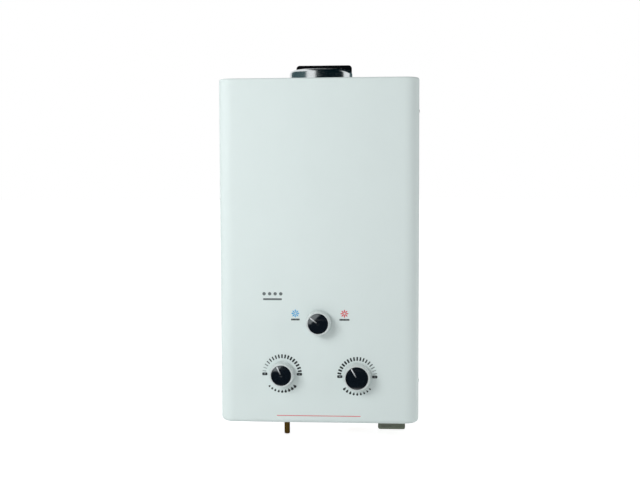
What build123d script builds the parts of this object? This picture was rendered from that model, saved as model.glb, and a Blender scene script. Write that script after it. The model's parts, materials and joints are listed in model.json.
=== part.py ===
from build123d import *
import os

# Instant gas water heater, hung on a wall. Millimetres, +Z up, the front faces -Y, +X is the viewer's right.
# The origin is the middle of the back plate's wall face. Heights are counted from the casing's bottom edge,
# and depths from the wall.

# Casing, over the painted sheet
CASING_WIDTH = 280.0
CASING_HEIGHT = 482.0
CASING_DEPTH = 130.0

# Fits shared by all pieces
SHEET_GAP = 0.4
RUNNING_GAP = 0.05
MOVING_GAP = 0.4
HOLE_GAP = 0.5
OVERRUN = 2.0

# Front cover
COVER_SHEET = 1.0
COVER_EDGE_RADIUS = 20.0
COVER_TOP_BEND = 3.0
COVER_BOTTOM_BEND = 6.0
COVER_FLANGE = 12.0
COVER_WALL_GAP = 2.0
SIGHT_HOLE_COUNT = 4
SIGHT_HOLE_DIAMETER = 4.8
SIGHT_HOLE_PITCH = 7.8
SIGHT_HOLE_X = -64.2
SIGHT_HOLE_HEIGHT = 182.5
SIGHT_SLOT_LENGTH = 26.8
SIGHT_SLOT_WIDTH = 2.8
SIGHT_SLOT_DROP = 7.6

# Back plate, with two tabs below the casing for wall screws
BACK_SHEET = 1.0
BACK_FLANGE = 16.0
BACK_BEND = 2.5
TAB_SPACING = 200.0
TAB_WIDTH = 30.0
TAB_DROP = 22.0
TAB_RADIUS = 6.0
TAB_HOLE_DIAMETER = 6.0
TAB_HOLE_DROP = 11.0
BEAD_WIDTH = 14.0
BEAD_DEPTH = 3.0
BEAD_LENGTH = 250.0
BEAD_X = 28.0

# Screws that hold the cover to the back plate's flanges
SCREW_DIAMETER = 4.0
SCREW_HEAD_DIAMETER = 7.5
SCREW_HEAD_HEIGHT = 2.2
SCREW_HEAD_TAPER = 25.0
SCREW_REACH = 6.0
SCREW_SETBACK = 10.0
SCREW_MARGIN = 40.0

# Hanging bracket
BRACKET_WIDTH = 83.0
BRACKET_SHEET = 1.5
BRACKET_RISE = 30.0
BRACKET_GRIP = 40.0
BRACKET_CORNER = 5.0
KEYHOLE_DIAMETER = 10.0
KEYHOLE_SLOT = 5.0
KEYHOLE_SLOT_RISE = 8.5
KEYHOLE_DROP = 15.0
RIVET_DIAMETER = 4.0
RIVET_HEAD_DIAMETER = 7.0
RIVET_HEAD_HEIGHT = 1.5
RIVET_HEAD_TAPER = 20.0
RIVET_SPACING = 56.0
RIVET_PITCH = 16.0

# Top and bottom plates
TOP_SHEET = 1.0
TOP_FLANGE = 14.0
BOTTOM_SHEET = 1.0
BOTTOM_FLANGE = 14.0
AIR_SLOT_LENGTH = 40.0
AIR_SLOT_WIDTH = 6.0
AIR_SLOT_PITCH = 12.0
AIR_SLOT_ROWS = 3
AIR_SLOT_COLUMNS = 2
AIR_SLOT_COLUMN_PITCH = 50.0
AIR_SLOT_X = -10.0
AIR_SLOT_DEPTH = 96.0

# Flue: collar on the top plate, hood below it
FLUE_DIAMETER = 90.0
FLUE_DEPTH = 64.0
COLLAR_SHEET = 0.8
COLLAR_RISE = 15.0
COLLAR_FLANGE = 8.0
COLLAR_BEND = 1.6
COLLAR_CURL = 5.0
COLLAR_SCREW_DIAMETER = 3.0
COLLAR_SCREW_HEAD = 4.8
COLLAR_SCREW_HEAD_HEIGHT = 1.6
COLLAR_SCREW_REACH = 5.0
COLLAR_SCREW_COUNT = 4
HOOD_SHEET = 1.0
DRAUGHT_SLOT_LENGTH = 90.0
DRAUGHT_SLOT_WIDTH = 9.0
DRAUGHT_SLOT_RISE = 22.0

# Fire chamber with the fin stack and its tubes
chamber_width_share = 17 / 28
CHAMBER_DEPTH = 80.0
CHAMBER_CORNER = 10.0
CHAMBER_SHEET = 1.0
CHAMBER_FOOT = 186.0
CHAMBER_HEIGHT = 184.0
FIN_COUNT = 14
FIN_SHEET = 0.8
fin_pitch_share = 11 / 170
FIN_HEIGHT = 36.0
FIN_TOP_DROP = 6.0
TUBE_DIAMETER = 12.0
TUBE_ROWS = 3
TUBE_ROW_PITCH = 25.0
TUBE_END_SETOFF = 15.0
TUBE_END_DROP = 32.0
TUBE_BEND = 12.0

# Jacket coil round the chamber, and the hot pipe down the left side
COIL_SETOFF = 11.0
COIL_BEND = 18.0
COIL_FOOT_RISE = 24.0
COIL_FOOT_BEND = 14.0
COIL_LIFT = 10.0
COIL_LEVEL_BELOW_TRAY = 22.0
COIL_RISER_DEPTH = 64.0
HOT_PIPE_SETOFF = 14.0
HOT_PIPE_JOG = 26.0
HOT_PIPE_JOG_BEND = 16.0
HOT_PIPE_LEVEL = 112.0
HOT_PIPE_BEND = 16.0
THERMOSTAT_DIAMETER = 16.0
THERMOSTAT_THICKNESS = 7.0
THERMOSTAT_HEIGHT = 210.0
THERMOSTAT_CHAMFER = 1.0
CHAMBER_BRACKET_WIDTH = 20.0
CHAMBER_BRACKET_SHEET = 1.2
CHAMBER_BRACKET_FLANGE = 14.0
CHAMBER_BRACKET_SPACING = 120.0
CHAMBER_BRACKET_HIGH = 300.0
CHAMBER_BRACKET_LOW = 172.0

# Burner: tray, bars, manifold and injectors
TRAY_HEIGHT = 38.0
TRAY_LIP = 9.0
BAR_COUNT = 6
bar_pitch_share = 27 / 170
BAR_WIDTH = 14.0
BAR_HEAD_HEIGHT = 20.0
BAR_PORT_COUNT = 9
BAR_PORT_WIDTH = 2.4
BAR_PORT_DEPTH = 5.0
BAR_THROAT_HEIGHT = 14.0
BAR_NECK_LENGTH = 24.0
BAR_MOUTH_DIAMETER = 10.0
BAR_MOUTH_DEPTH = 12.0
BAR_CORNER = 4.0
MANIFOLD_DIAMETER = 14.0
MANIFOLD_WALL = 1.5
MANIFOLD_END_MARGIN = 10.0
MANIFOLD_DEPTH = 116.0
INJECTOR_DIAMETER = 6.0
INJECTOR_TIP_DIAMETER = 3.0
INJECTOR_TIP_LENGTH = 3.0
ELECTRODE_X = 13.0
ELECTRODE_DROP = 7.0
ELECTRODE_DIAMETER = 7.0
ELECTRODE_PIN_DIAMETER = 2.0
ELECTRODE_OUTSIDE = 9.0
ELECTRODE_INSIDE = 10.0
ELECTRODE_PIN_LENGTH = 14.0
ELECTRODE_COLLAR_DIAMETER = 11.0
ELECTRODE_COLLAR_THICKNESS = 2.0

# Season valve on the manifold, gas riser up to it
SEASON_X = 0.5
SEASON_HEIGHT = 142.3
SEASON_BLOCK_WIDTH = 14.0
SEASON_BLOCK_MARGIN = 11.0
SEASON_BLOCK_DEPTH = 20.0
SEASON_BORE_DEPTH = 14.0
SEASON_CHAMFER = 1.0
RISER_DIAMETER = 8.0
RISER_BEND = 8.0

# Valve bodies, both at the same depth, carried by one bracket
VALVE_BACK = 26.0
VALVE_FRONT = 92.0
VALVE_CORNER = 5.0
VALVE_BOSS_DIAMETER = 22.0
VALVE_BOSS_LENGTH = 20.0
VALVE_BORE_DEPTH = 28.0
VALVE_BRACKET_SHEET = 1.5
VALVE_BRACKET_FLANGE = 18.0
VALVE_BRACKET_HEIGHT = 68.0

# Gas valve
GAS_X = -51.2
GAS_HEIGHT = 69.4
GAS_BODY_LEFT = 36.0
GAS_BODY_RIGHT = 32.0
GAS_BODY_DROP = 22.0
GAS_BODY_RISE = 16.0
GAS_RISER_X = -36.0
SOLENOID_DIAMETER = 26.0
SOLENOID_LENGTH = 24.0
SOLENOID_CAP_DIAMETER = 18.0
SOLENOID_CAP_LENGTH = 4.0
GAS_INLET_X = -50.7
GAS_INLET_DEPTH = 72.0
GAS_INLET_DIAMETER = 8.0
GAS_STEM_DIAMETER = 10.5
GAS_INLET_REACH = 28.5
GAS_INLET_CHAMFER = 1.0
GAS_INLET_BORE = 5.0
GAS_NUT_FLATS = 17.0
GAS_NUT_HEIGHT = 16.0

# Water valve with its diaphragm
WATER_X = 54.3
WATER_HEIGHT = 66.6
WATER_BODY_LEFT = 20.0
WATER_BODY_RIGHT = 11.0
WATER_PORT_OFFSET = 8.0
WATER_BODY_DROP = 22.0
WATER_BODY_RISE = 22.0
DIAPHRAGM_DIAMETER = 56.0
DIAPHRAGM_THICKNESS = 2.0
DIAPHRAGM_FLANGE = 6.0
DIAPHRAGM_COVER_DEPTH = 12.0
DIAPHRAGM_CAVITY_DIAMETER = 36.0
DIAPHRAGM_CAVITY_DEPTH = 7.0
DIAPHRAGM_SCREW_COUNT = 6
DIAPHRAGM_SCREW_DIAMETER = 4.0
DIAPHRAGM_SCREW_CIRCLE = 46.0
DIAPHRAGM_SCREW_HEAD = 7.0
DIAPHRAGM_SCREW_HEAD_HEIGHT = 3.0
OUTLET_BOSS_DIAMETER = 20.0
OUTLET_BOSS_HEIGHT = 8.0
DRAIN_DEPTH = 78.0
DRAIN_DIAMETER = 12.0
DRAIN_LENGTH = 16.0
DRAIN_HEAD_DIAMETER = 16.0
DRAIN_HEAD_HEIGHT = 6.0

# Push rod between the water and the gas valve, with the microswitch that it works
LINK_HEIGHT = 64.0
LINK_DEPTH = 69.0
ROD_DIAMETER = 4.0
ROD_TRAVEL = 3.0
ROD_INSERTION = 18.0
ROD_PLATE_DIAMETER = 30.0
ROD_PLATE_THICKNESS = 1.6
ROD_COLLAR_DIAMETER = 12.0
ROD_COLLAR_WIDTH = 3.0
SWITCH_LENGTH = 20.0
SWITCH_HEIGHT = 10.0
SWITCH_THICKNESS = 6.4
SWITCH_RISE = 7.0
SWITCH_TERMINAL_WIDTH = 3.0
SWITCH_TERMINAL_HEIGHT = 6.0
SWITCH_TERMINAL_SHEET = 0.8
SWITCH_TERMINAL_PITCH = 6.0
SWITCH_TERMINAL_COUNT = 3
LEVER_WIDTH = 2.0
LEVER_SHEET = 0.8
LEVER_SETBACK = 3.0
LEVER_ARM = 14.0
LEVER_PIN_DIAMETER = 1.6
LEVER_PIN_DEPTH = 4.0
LEVER_PIVOT_RISE = 12.0

# Water connections, half-inch pipe thread outside
PIPE_THREAD_DIAMETER = 20.96
PIPE_BORE_DIAMETER = 14.0
PIPE_SPIGOT_DIAMETER = 23.0
PIPE_REACH = 17.0
PIPE_HEX_FLATS = 26.0
PIPE_HEX_HEIGHT = 8.0
PIPE_NECK_DIAMETER = 18.0
PIPE_CHAMFER = 1.2
WATER_INLET_DEPTH = 40.0
HOT_OUTLET_DEPTH = 38.0
HOT_OUTLET_TOP = 34.0

# Igniter box on the back plate
IGNITER_WIDTH = 26.0
IGNITER_HEIGHT = 90.0
IGNITER_DEPTH = 34.0
IGNITER_SIDE_GAP = 21.0
IGNITER_TOP_GAP = 18.0
IGNITER_CORNER = 3.0
IGNITER_STUB_DIAMETER = 8.0
IGNITER_STUB_LENGTH = 7.0
IGNITER_STUB_DEPTH = 18.0
IGNITER_RIB_COUNT = 5
IGNITER_RIB_WIDTH = 3.0
IGNITER_RIB_PITCH = 10.0
IGNITER_RIB_HEIGHT = 1.2

# Battery box for two upright cells, its door and hinge
battery_share = 51 / 140
BATTERY_DEPTH = 76.0
BATTERY_WALL = 2.0
BATTERY_BELOW = 7.0
BATTERY_RIM = 4.0
BATTERY_RIM_THICKNESS = 2.0
BATTERY_CORNER = 3.0
CELL_DIAMETER = 33.2
CELL_LENGTH = 60.0
CELL_GAP = 0.6
CELL_NUB_DIAMETER = 9.5
CELL_NUB_HEIGHT = 1.5
CONTACT_DIAMETER = 14.0
CONTACT_SHEET = 1.0
DOOR_THICKNESS = 4.2
DOOR_ROUND = 3.0
DOOR_PAD_HEIGHT = 2.0
HINGE_PIN_DIAMETER = 2.4
HINGE_KNUCKLE_DIAMETER = 6.0
HINGE_LUG_WIDTH = 6.0
HINGE_LUG_RISE = 6.0

# Knobs
KNOB_GAP = 1.0
KNOB_HEIGHT = 13.5
KNOB_FLARE = 1.6
KNOB_RIM = 2.0
KNOB_RIM_ROUND = 0.9
KNOB_WALL = 2.0
KNOB_WEB = 2.5
KNOB_BOSS_DIAMETER = 12.0
KNOB_BOSS_SETBACK = 2.0
KNOB_BORE_DEPTH = 6.5
KNOB_HOLE_DIAMETER = 18.0
FACE_DIAMETER = 28.4
WATER_FACE_DIAMETER = 31.6
FACE_THICKNESS = 2.0
FACE_PROUD = 0.5
FACE_CROWN = 1.2
FACE_CHAMFER = 0.4
POINTER_WIDTH = 1.5
POINTER_START = 2.2
POINTER_MARGIN = 0.8
POINTER_DEPTH = 1.0
POINTER_PROUD = 0.15
SPINDLE_DIAMETER = 6.0
SPINDLE_FLAT_DEPTH = 1.2
SPINDLE_FLAT_LENGTH = 8.0
SEASON_POINTER_ANGLE = 53.0
GAS_POINTER_ANGLE = 25.5
WATER_POINTER_ANGLE = 30.5

# Places worked out from the sizes above
bottom = -CASING_HEIGHT / 2
top = CASING_HEIGHT / 2
cover_back = CASING_DEPTH - COVER_SHEET
plate_inset = COVER_SHEET + SHEET_GAP
plate_half = CASING_WIDTH / 2 - plate_inset
plate_foot = COVER_BOTTOM_BEND + SHEET_GAP
plate_head = COVER_TOP_BEND + SHEET_GAP
plate_height = CASING_HEIGHT - plate_foot - plate_head
inner_inset = plate_inset + BACK_SHEET + SHEET_GAP
roof_inset = max(inner_inset, COVER_TOP_BEND + SHEET_GAP)
floor_inset = max(inner_inset, COVER_BOTTOM_BEND + SHEET_GAP)
floor_top = COVER_SHEET + BOTTOM_SHEET
roof = CASING_HEIGHT - COVER_SHEET
roof_under = roof - TOP_SHEET
flue_radius = FLUE_DIAMETER / 2
chamber_width = CASING_WIDTH * chamber_width_share
fin_pitch = chamber_width * fin_pitch_share
bar_pitch = chamber_width * bar_pitch_share
tube_end = chamber_width / 2 + TUBE_END_SETOFF
hot_pipe_x = -tube_end - HOT_PIPE_SETOFF
igniter_x = CASING_WIDTH / 2 - IGNITER_SIDE_GAP
battery_x = CASING_WIDTH * battery_share
collar_screw_circle = flue_radius + (COLLAR_FLANGE + COLLAR_BEND) / 2
chamber_top = CHAMBER_FOOT + CHAMBER_HEIGHT
igniter_foot = CASING_HEIGHT - IGNITER_TOP_GAP - IGNITER_HEIGHT
chamber_back = FLUE_DEPTH - CHAMBER_DEPTH / 2
chamber_front = FLUE_DEPTH + CHAMBER_DEPTH / 2
fin_middle = chamber_top - FIN_TOP_DROP - FIN_HEIGHT / 2
tube_radius = TUBE_DIAMETER / 2
tray_foot = CHAMBER_FOOT - TRAY_HEIGHT
bar_throat_length = CHAMBER_DEPTH - 2 * TRAY_LIP - 2 * SHEET_GAP
link_plane = Plane((0, -LINK_DEPTH, bottom + LINK_HEIGHT), x_dir=(0, 1, 0), z_dir=(1, 0, 0))
gas_left = GAS_X - GAS_BODY_LEFT
gas_right = GAS_X + GAS_BODY_RIGHT
gas_top = GAS_HEIGHT + GAS_BODY_RISE
gas_foot = GAS_HEIGHT - GAS_BODY_DROP
water_left = WATER_X - WATER_BODY_LEFT
water_right = WATER_X + WATER_BODY_RIGHT
water_port_x = WATER_X - WATER_PORT_OFFSET
water_top = WATER_HEIGHT + WATER_BODY_RISE
water_foot = WATER_HEIGHT - WATER_BODY_DROP
diaphragm_x = water_left - DIAPHRAGM_FLANGE
cover_face_x = diaphragm_x - DIAPHRAGM_THICKNESS - DIAPHRAGM_COVER_DEPTH
knob_places = [(SEASON_X, SEASON_HEIGHT), (GAS_X, GAS_HEIGHT), (WATER_X, WATER_HEIGHT)]
pieces = {}


def level(height):
    """Horizontal plane at a height above the casing's bottom edge."""
    return Plane.XY.offset(bottom + height)


def upright(distance):
    """Plane that faces the room, at a distance from the wall."""
    return Plane.XZ.offset(distance)


def sideways(x):
    """Plane that faces right, at a distance from the middle."""
    return Plane.YZ.offset(x)


def casing_plan(height, inset, rear):
    """Plan of the casing, drawn inside its outline and rounded at the two front corners."""
    depth = CASING_DEPTH - inset - rear
    with BuildSketch(level(height)) as plan:
        with Locations((0, -(rear + depth / 2))):
            Rectangle(CASING_WIDTH - 2 * inset, depth)
        fillet(plan.vertices().group_by(Axis.Y)[0], COVER_EDGE_RADIUS - inset)
    return plan.sketch


def folded_sheet(plane, points, bend, sheet, side):
    """Section of a folded sheet, drawn along one of its faces."""
    with BuildSketch(plane) as section:
        with BuildLine():
            FilletPolyline(points, radius=bend)
            offset(amount=sheet, side=side)
        make_face()
    return section.sketch


def bent_tube(points, bend, diameter):
    """Round tube along straight runs joined by bends."""
    with BuildPart() as tube:
        with BuildLine() as route:
            FilletPolyline(points, radius=bend)
        with BuildSketch(Plane(route.line @ 0, z_dir=route.line % 0)):
            Circle(diameter / 2)
        sweep(path=route.line)
    return tube


# Back plate: a shallow channel with stiffening beads and two wall tabs
with BuildPart() as back_plate:
    channel = folded_sheet(
        level(plate_foot),
        [
            (-plate_half, -BACK_FLANGE),
            (-plate_half, 0),
            (plate_half, 0),
            (plate_half, -BACK_FLANGE),
        ],
        BACK_BEND,
        BACK_SHEET,
        Side.RIGHT,
    )
    extrude(channel, amount=plate_height)
    with BuildSketch(upright(0)):
        with Locations((-TAB_SPACING / 2, bottom + plate_foot), (TAB_SPACING / 2, bottom + plate_foot)):
            RectangleRounded(TAB_WIDTH, 2 * (TAB_DROP + plate_foot), TAB_RADIUS)
    extrude(amount=BACK_SHEET)
    with BuildSketch(upright(0)):
        with Locations((-BEAD_X, 0), (BEAD_X, 0)):
            SlotOverall(BEAD_LENGTH, BEAD_WIDTH, rotation=90)
    extrude(amount=BEAD_DEPTH)
    with BuildSketch(upright(0)):
        with Locations((-BEAD_X, 0), (BEAD_X, 0)):
            SlotOverall(BEAD_LENGTH - 2 * BACK_SHEET, BEAD_WIDTH - 2 * BACK_SHEET, rotation=90)
    extrude(amount=BEAD_DEPTH - BACK_SHEET, mode=Mode.SUBTRACT)
    with BuildSketch(upright(0)):
        with Locations((-TAB_SPACING / 2, bottom - TAB_HOLE_DROP), (TAB_SPACING / 2, bottom - TAB_HOLE_DROP)):
            Circle(TAB_HOLE_DIAMETER / 2)
    extrude(amount=BACK_SHEET, mode=Mode.SUBTRACT)
    with BuildSketch(sideways(-CASING_WIDTH / 2)):
        with Locations((-SCREW_SETBACK, bottom + SCREW_MARGIN), (-SCREW_SETBACK, top - SCREW_MARGIN)):
            Circle(SCREW_DIAMETER / 2 + RUNNING_GAP)
    extrude(amount=CASING_WIDTH, mode=Mode.SUBTRACT)
    with BuildSketch(upright(0)):
        with Locations((0, top - BRACKET_GRIP / 2)):
            with GridLocations(RIVET_SPACING, RIVET_PITCH, 2, 2):
                Circle(RIVET_DIAMETER / 2 + RUNNING_GAP)
    extrude(amount=BACK_SHEET, mode=Mode.SUBTRACT)
pieces["back_plate"] = back_plate

# Hanging bracket: a black strap with a keyhole, riveted to the back plate and standing above the casing
bracket_height = BRACKET_GRIP + BRACKET_RISE
with BuildPart() as hanging_bracket:
    with BuildSketch(upright(BACK_SHEET)) as strap:
        with Locations((0, top - BRACKET_GRIP + bracket_height / 2)):
            RectangleRounded(BRACKET_WIDTH, bracket_height, BRACKET_CORNER)
        with Locations((0, top + BRACKET_RISE - KEYHOLE_DROP)):
            Circle(KEYHOLE_DIAMETER / 2, mode=Mode.SUBTRACT)
            with Locations((0, KEYHOLE_SLOT_RISE / 2)):
                SlotOverall(
                    KEYHOLE_SLOT_RISE + KEYHOLE_SLOT, KEYHOLE_SLOT, rotation=90, mode=Mode.SUBTRACT
                )
        with Locations((0, top - BRACKET_GRIP / 2)):
            with GridLocations(RIVET_SPACING, RIVET_PITCH, 2, 2):
                Circle(RIVET_DIAMETER / 2 + RUNNING_GAP, mode=Mode.SUBTRACT)
    extrude(amount=BRACKET_SHEET)
pieces["hanging_bracket"] = hanging_bracket

# Rivets through bracket and back plate
with BuildPart() as bracket_rivets:
    with BuildSketch(upright(0)):
        with Locations((0, top - BRACKET_GRIP / 2)):
            with GridLocations(RIVET_SPACING, RIVET_PITCH, 2, 2):
                Circle(RIVET_DIAMETER / 2)
    extrude(amount=BACK_SHEET + BRACKET_SHEET)
    with BuildSketch(upright(BACK_SHEET + BRACKET_SHEET)):
        with Locations((0, top - BRACKET_GRIP / 2)):
            with GridLocations(RIVET_SPACING, RIVET_PITCH, 2, 2):
                Circle(RIVET_HEAD_DIAMETER / 2)
    extrude(amount=RIVET_HEAD_HEIGHT, taper=RIVET_HEAD_TAPER)
pieces["bracket_rivets"] = bracket_rivets

# Front cover: one drawn sheet, open to the wall, with narrow flanges turned in at the top and bottom
with BuildPart() as front_cover:
    extrude(casing_plan(0, 0, COVER_WALL_GAP), amount=CASING_HEIGHT)
    fillet(front_cover.faces().sort_by(Axis.Z)[0].edges().sort_by(Axis.Y)[:-1], COVER_BOTTOM_BEND)
    fillet(front_cover.faces().sort_by(Axis.Z)[-1].edges().sort_by(Axis.Y)[:-1], COVER_TOP_BEND)
    offset(amount=-COVER_SHEET, openings=front_cover.faces().sort_by(Axis.Y)[-1])
    flange_cut = casing_plan(-OVERRUN, COVER_FLANGE, 0)
    extrude(flange_cut, amount=CASING_HEIGHT + 2 * OVERRUN, mode=Mode.SUBTRACT)
    with BuildSketch(upright(cover_back - OVERRUN)):
        for knob_x, knob_height in knob_places:
            with Locations((knob_x, bottom + knob_height)):
                Circle(KNOB_HOLE_DIAMETER / 2)
        with Locations((SIGHT_HOLE_X, bottom + SIGHT_HOLE_HEIGHT)):
            with GridLocations(SIGHT_HOLE_PITCH, 0, SIGHT_HOLE_COUNT, 1):
                Circle(SIGHT_HOLE_DIAMETER / 2)
        with Locations((SIGHT_HOLE_X, bottom + SIGHT_HOLE_HEIGHT - SIGHT_SLOT_DROP)):
            SlotOverall(SIGHT_SLOT_LENGTH, SIGHT_SLOT_WIDTH)
    extrude(amount=COVER_SHEET + 2 * OVERRUN, mode=Mode.SUBTRACT)
    with BuildSketch(sideways(-CASING_WIDTH / 2 - OVERRUN)):
        with Locations((-SCREW_SETBACK, bottom + SCREW_MARGIN), (-SCREW_SETBACK, top - SCREW_MARGIN)):
            Circle(SCREW_DIAMETER / 2 + RUNNING_GAP)
    extrude(amount=CASING_WIDTH + 2 * OVERRUN, mode=Mode.SUBTRACT)
pieces["front_cover"] = front_cover

# Pan-head screws in the cover's sides
with BuildPart() as cover_screws:
    with BuildSketch(sideways(CASING_WIDTH / 2 - SCREW_REACH)):
        with Locations((-SCREW_SETBACK, bottom + SCREW_MARGIN), (-SCREW_SETBACK, top - SCREW_MARGIN)):
            Circle(SCREW_DIAMETER / 2)
    extrude(amount=SCREW_REACH)
    with BuildSketch(sideways(CASING_WIDTH / 2)):
        with Locations((-SCREW_SETBACK, bottom + SCREW_MARGIN), (-SCREW_SETBACK, top - SCREW_MARGIN)):
            Circle(SCREW_HEAD_DIAMETER / 2)
    extrude(amount=SCREW_HEAD_HEIGHT, taper=SCREW_HEAD_TAPER)
    mirror(about=Plane.YZ)
pieces["cover_screws"] = cover_screws

# Top plate: carries the flue collar and closes the casing under the cover's top flange
with BuildPart() as top_plate:
    extrude(casing_plan(roof_under, roof_inset, BACK_SHEET), amount=TOP_SHEET)
    with BuildSketch(upright(BACK_SHEET)):
        with Locations((0, bottom + roof - TOP_FLANGE / 2)):
            Rectangle(CASING_WIDTH - 2 * roof_inset - 2 * BACK_BEND, TOP_FLANGE)
    extrude(amount=TOP_SHEET)
    with BuildSketch(level(roof - TOP_FLANGE)):
        with Locations((0, -BACK_SHEET)):
            Rectangle(BRACKET_WIDTH + 2 * HOLE_GAP, 2 * (BRACKET_SHEET + TOP_SHEET + HOLE_GAP))
    extrude(amount=TOP_FLANGE, mode=Mode.SUBTRACT)
    with BuildSketch(level(roof_under)):
        with Locations((0, -FLUE_DEPTH)):
            Circle(flue_radius - COLLAR_SHEET)
            with PolarLocations(collar_screw_circle, COLLAR_SCREW_COUNT, start_angle=45):
                Circle(COLLAR_SCREW_DIAMETER / 2 + RUNNING_GAP)
    extrude(amount=TOP_SHEET, mode=Mode.SUBTRACT)
pieces["top_plate"] = top_plate

# Flue collar: a spun ring with a foot flange and a curled rim
with BuildPart() as flue_collar:
    collar_section = folded_sheet(
        Plane((0, -FLUE_DEPTH, bottom + roof), x_dir=(1, 0, 0), z_dir=(0, -1, 0)),
        [
            (flue_radius + COLLAR_FLANGE, COLLAR_SHEET),
            (flue_radius, COLLAR_SHEET),
            (flue_radius, COVER_SHEET + COLLAR_RISE),
            (flue_radius - COLLAR_CURL - COLLAR_SHEET, COVER_SHEET + COLLAR_RISE),
        ],
        [COLLAR_BEND, COLLAR_CURL],
        COLLAR_SHEET,
        Side.LEFT,
    )
    revolve(collar_section, axis=Axis((0, -FLUE_DEPTH, 0), (0, 0, 1)))
    with BuildSketch(level(roof)):
        with Locations((0, -FLUE_DEPTH)):
            with PolarLocations(collar_screw_circle, COLLAR_SCREW_COUNT, start_angle=45):
                Circle(COLLAR_SCREW_DIAMETER / 2 + RUNNING_GAP)
    extrude(amount=COLLAR_SHEET, mode=Mode.SUBTRACT)
pieces["flue_collar"] = flue_collar

# Screws through the collar's flange
with BuildPart() as collar_screws:
    with BuildSketch(level(roof + COLLAR_SHEET - COLLAR_SCREW_REACH)):
        with Locations((0, -FLUE_DEPTH)):
            with PolarLocations(collar_screw_circle, COLLAR_SCREW_COUNT, start_angle=45):
                Circle(COLLAR_SCREW_DIAMETER / 2)
    extrude(amount=COLLAR_SCREW_REACH)
    with BuildSketch(level(roof + COLLAR_SHEET)):
        with Locations((0, -FLUE_DEPTH)):
            with PolarLocations(collar_screw_circle, COLLAR_SCREW_COUNT, start_angle=45):
                Circle(COLLAR_SCREW_HEAD / 2)
    extrude(amount=COLLAR_SCREW_HEAD_HEIGHT)
pieces["collar_screws"] = collar_screws

# Flue hood: from the chamber's rectangle to the round flue, with draught slots front and back
with BuildPart() as flue_hood:
    for inset, mode in ((0, Mode.ADD), (HOOD_SHEET, Mode.SUBTRACT)):
        with BuildSketch(level(chamber_top)) as hood_foot:
            with Locations((0, -FLUE_DEPTH)):
                RectangleRounded(
                    chamber_width - 2 * inset, CHAMBER_DEPTH - 2 * inset, CHAMBER_CORNER - inset
                )
        with BuildSketch(level(roof_under)) as hood_mouth:
            with Locations((0, -FLUE_DEPTH)):
                Circle(flue_radius + COLLAR_SHEET - inset)
        loft(mode=mode)
    with BuildSketch(upright(FLUE_DEPTH - CHAMBER_DEPTH)):
        with Locations((0, bottom + chamber_top + DRAUGHT_SLOT_RISE)):
            SlotOverall(DRAUGHT_SLOT_LENGTH, DRAUGHT_SLOT_WIDTH)
    extrude(amount=2 * CHAMBER_DEPTH, mode=Mode.SUBTRACT)
pieces["flue_hood"] = flue_hood

# Fire chamber: a rectangular copper shaft that the tubes cross
tube_rows = [(row - (TUBE_ROWS - 1) / 2) * TUBE_ROW_PITCH for row in range(TUBE_ROWS)]
with BuildPart() as fire_chamber:
    with BuildSketch(level(CHAMBER_FOOT)):
        with Locations((0, -FLUE_DEPTH)):
            RectangleRounded(chamber_width, CHAMBER_DEPTH, CHAMBER_CORNER)
            RectangleRounded(
                chamber_width - 2 * CHAMBER_SHEET,
                CHAMBER_DEPTH - 2 * CHAMBER_SHEET,
                CHAMBER_CORNER - CHAMBER_SHEET,
                mode=Mode.SUBTRACT,
            )
    extrude(amount=CHAMBER_HEIGHT)
    with BuildSketch(sideways(-chamber_width / 2)):
        with Locations(*[(-FLUE_DEPTH + row, bottom + fin_middle) for row in tube_rows]):
            Circle(tube_radius + RUNNING_GAP)
    extrude(amount=chamber_width, mode=Mode.SUBTRACT)
pieces["fire_chamber"] = fire_chamber

# Fin stack: thin plates threaded on the tubes
with BuildPart() as exchanger_fins:
    for fin in range(FIN_COUNT):
        fin_x = (fin - (FIN_COUNT - 1) / 2) * fin_pitch - FIN_SHEET / 2
        with BuildSketch(sideways(fin_x)):
            with Locations((-FLUE_DEPTH, bottom + fin_middle)):
                Rectangle(CHAMBER_DEPTH - 2 * CHAMBER_SHEET - 2 * RUNNING_GAP, FIN_HEIGHT)
            with Locations(*[(-FLUE_DEPTH + row, bottom + fin_middle) for row in tube_rows]):
                Circle(tube_radius + RUNNING_GAP, mode=Mode.SUBTRACT)
        extrude(amount=FIN_SHEET)
pieces["exchanger_fins"] = exchanger_fins

# Exchanger tubes: one tube back and forth through the fins, its two ends turned down
tube_level = bottom + fin_middle
tube_route = [(tube_end, -FLUE_DEPTH + tube_rows[-1], tube_level - TUBE_END_DROP)]
turn_side = 1
for row in reversed(tube_rows):
    tube_route.append((turn_side * tube_end, -FLUE_DEPTH + row, tube_level))
    tube_route.append((-turn_side * tube_end, -FLUE_DEPTH + row, tube_level))
    turn_side = -turn_side
tube_route.append((turn_side * tube_end, -FLUE_DEPTH + tube_rows[0], tube_level - TUBE_END_DROP))
exchanger_tubes = bent_tube(tube_route, TUBE_BEND, TUBE_DIAMETER)
pieces["exchanger_tubes"] = exchanger_tubes

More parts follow.
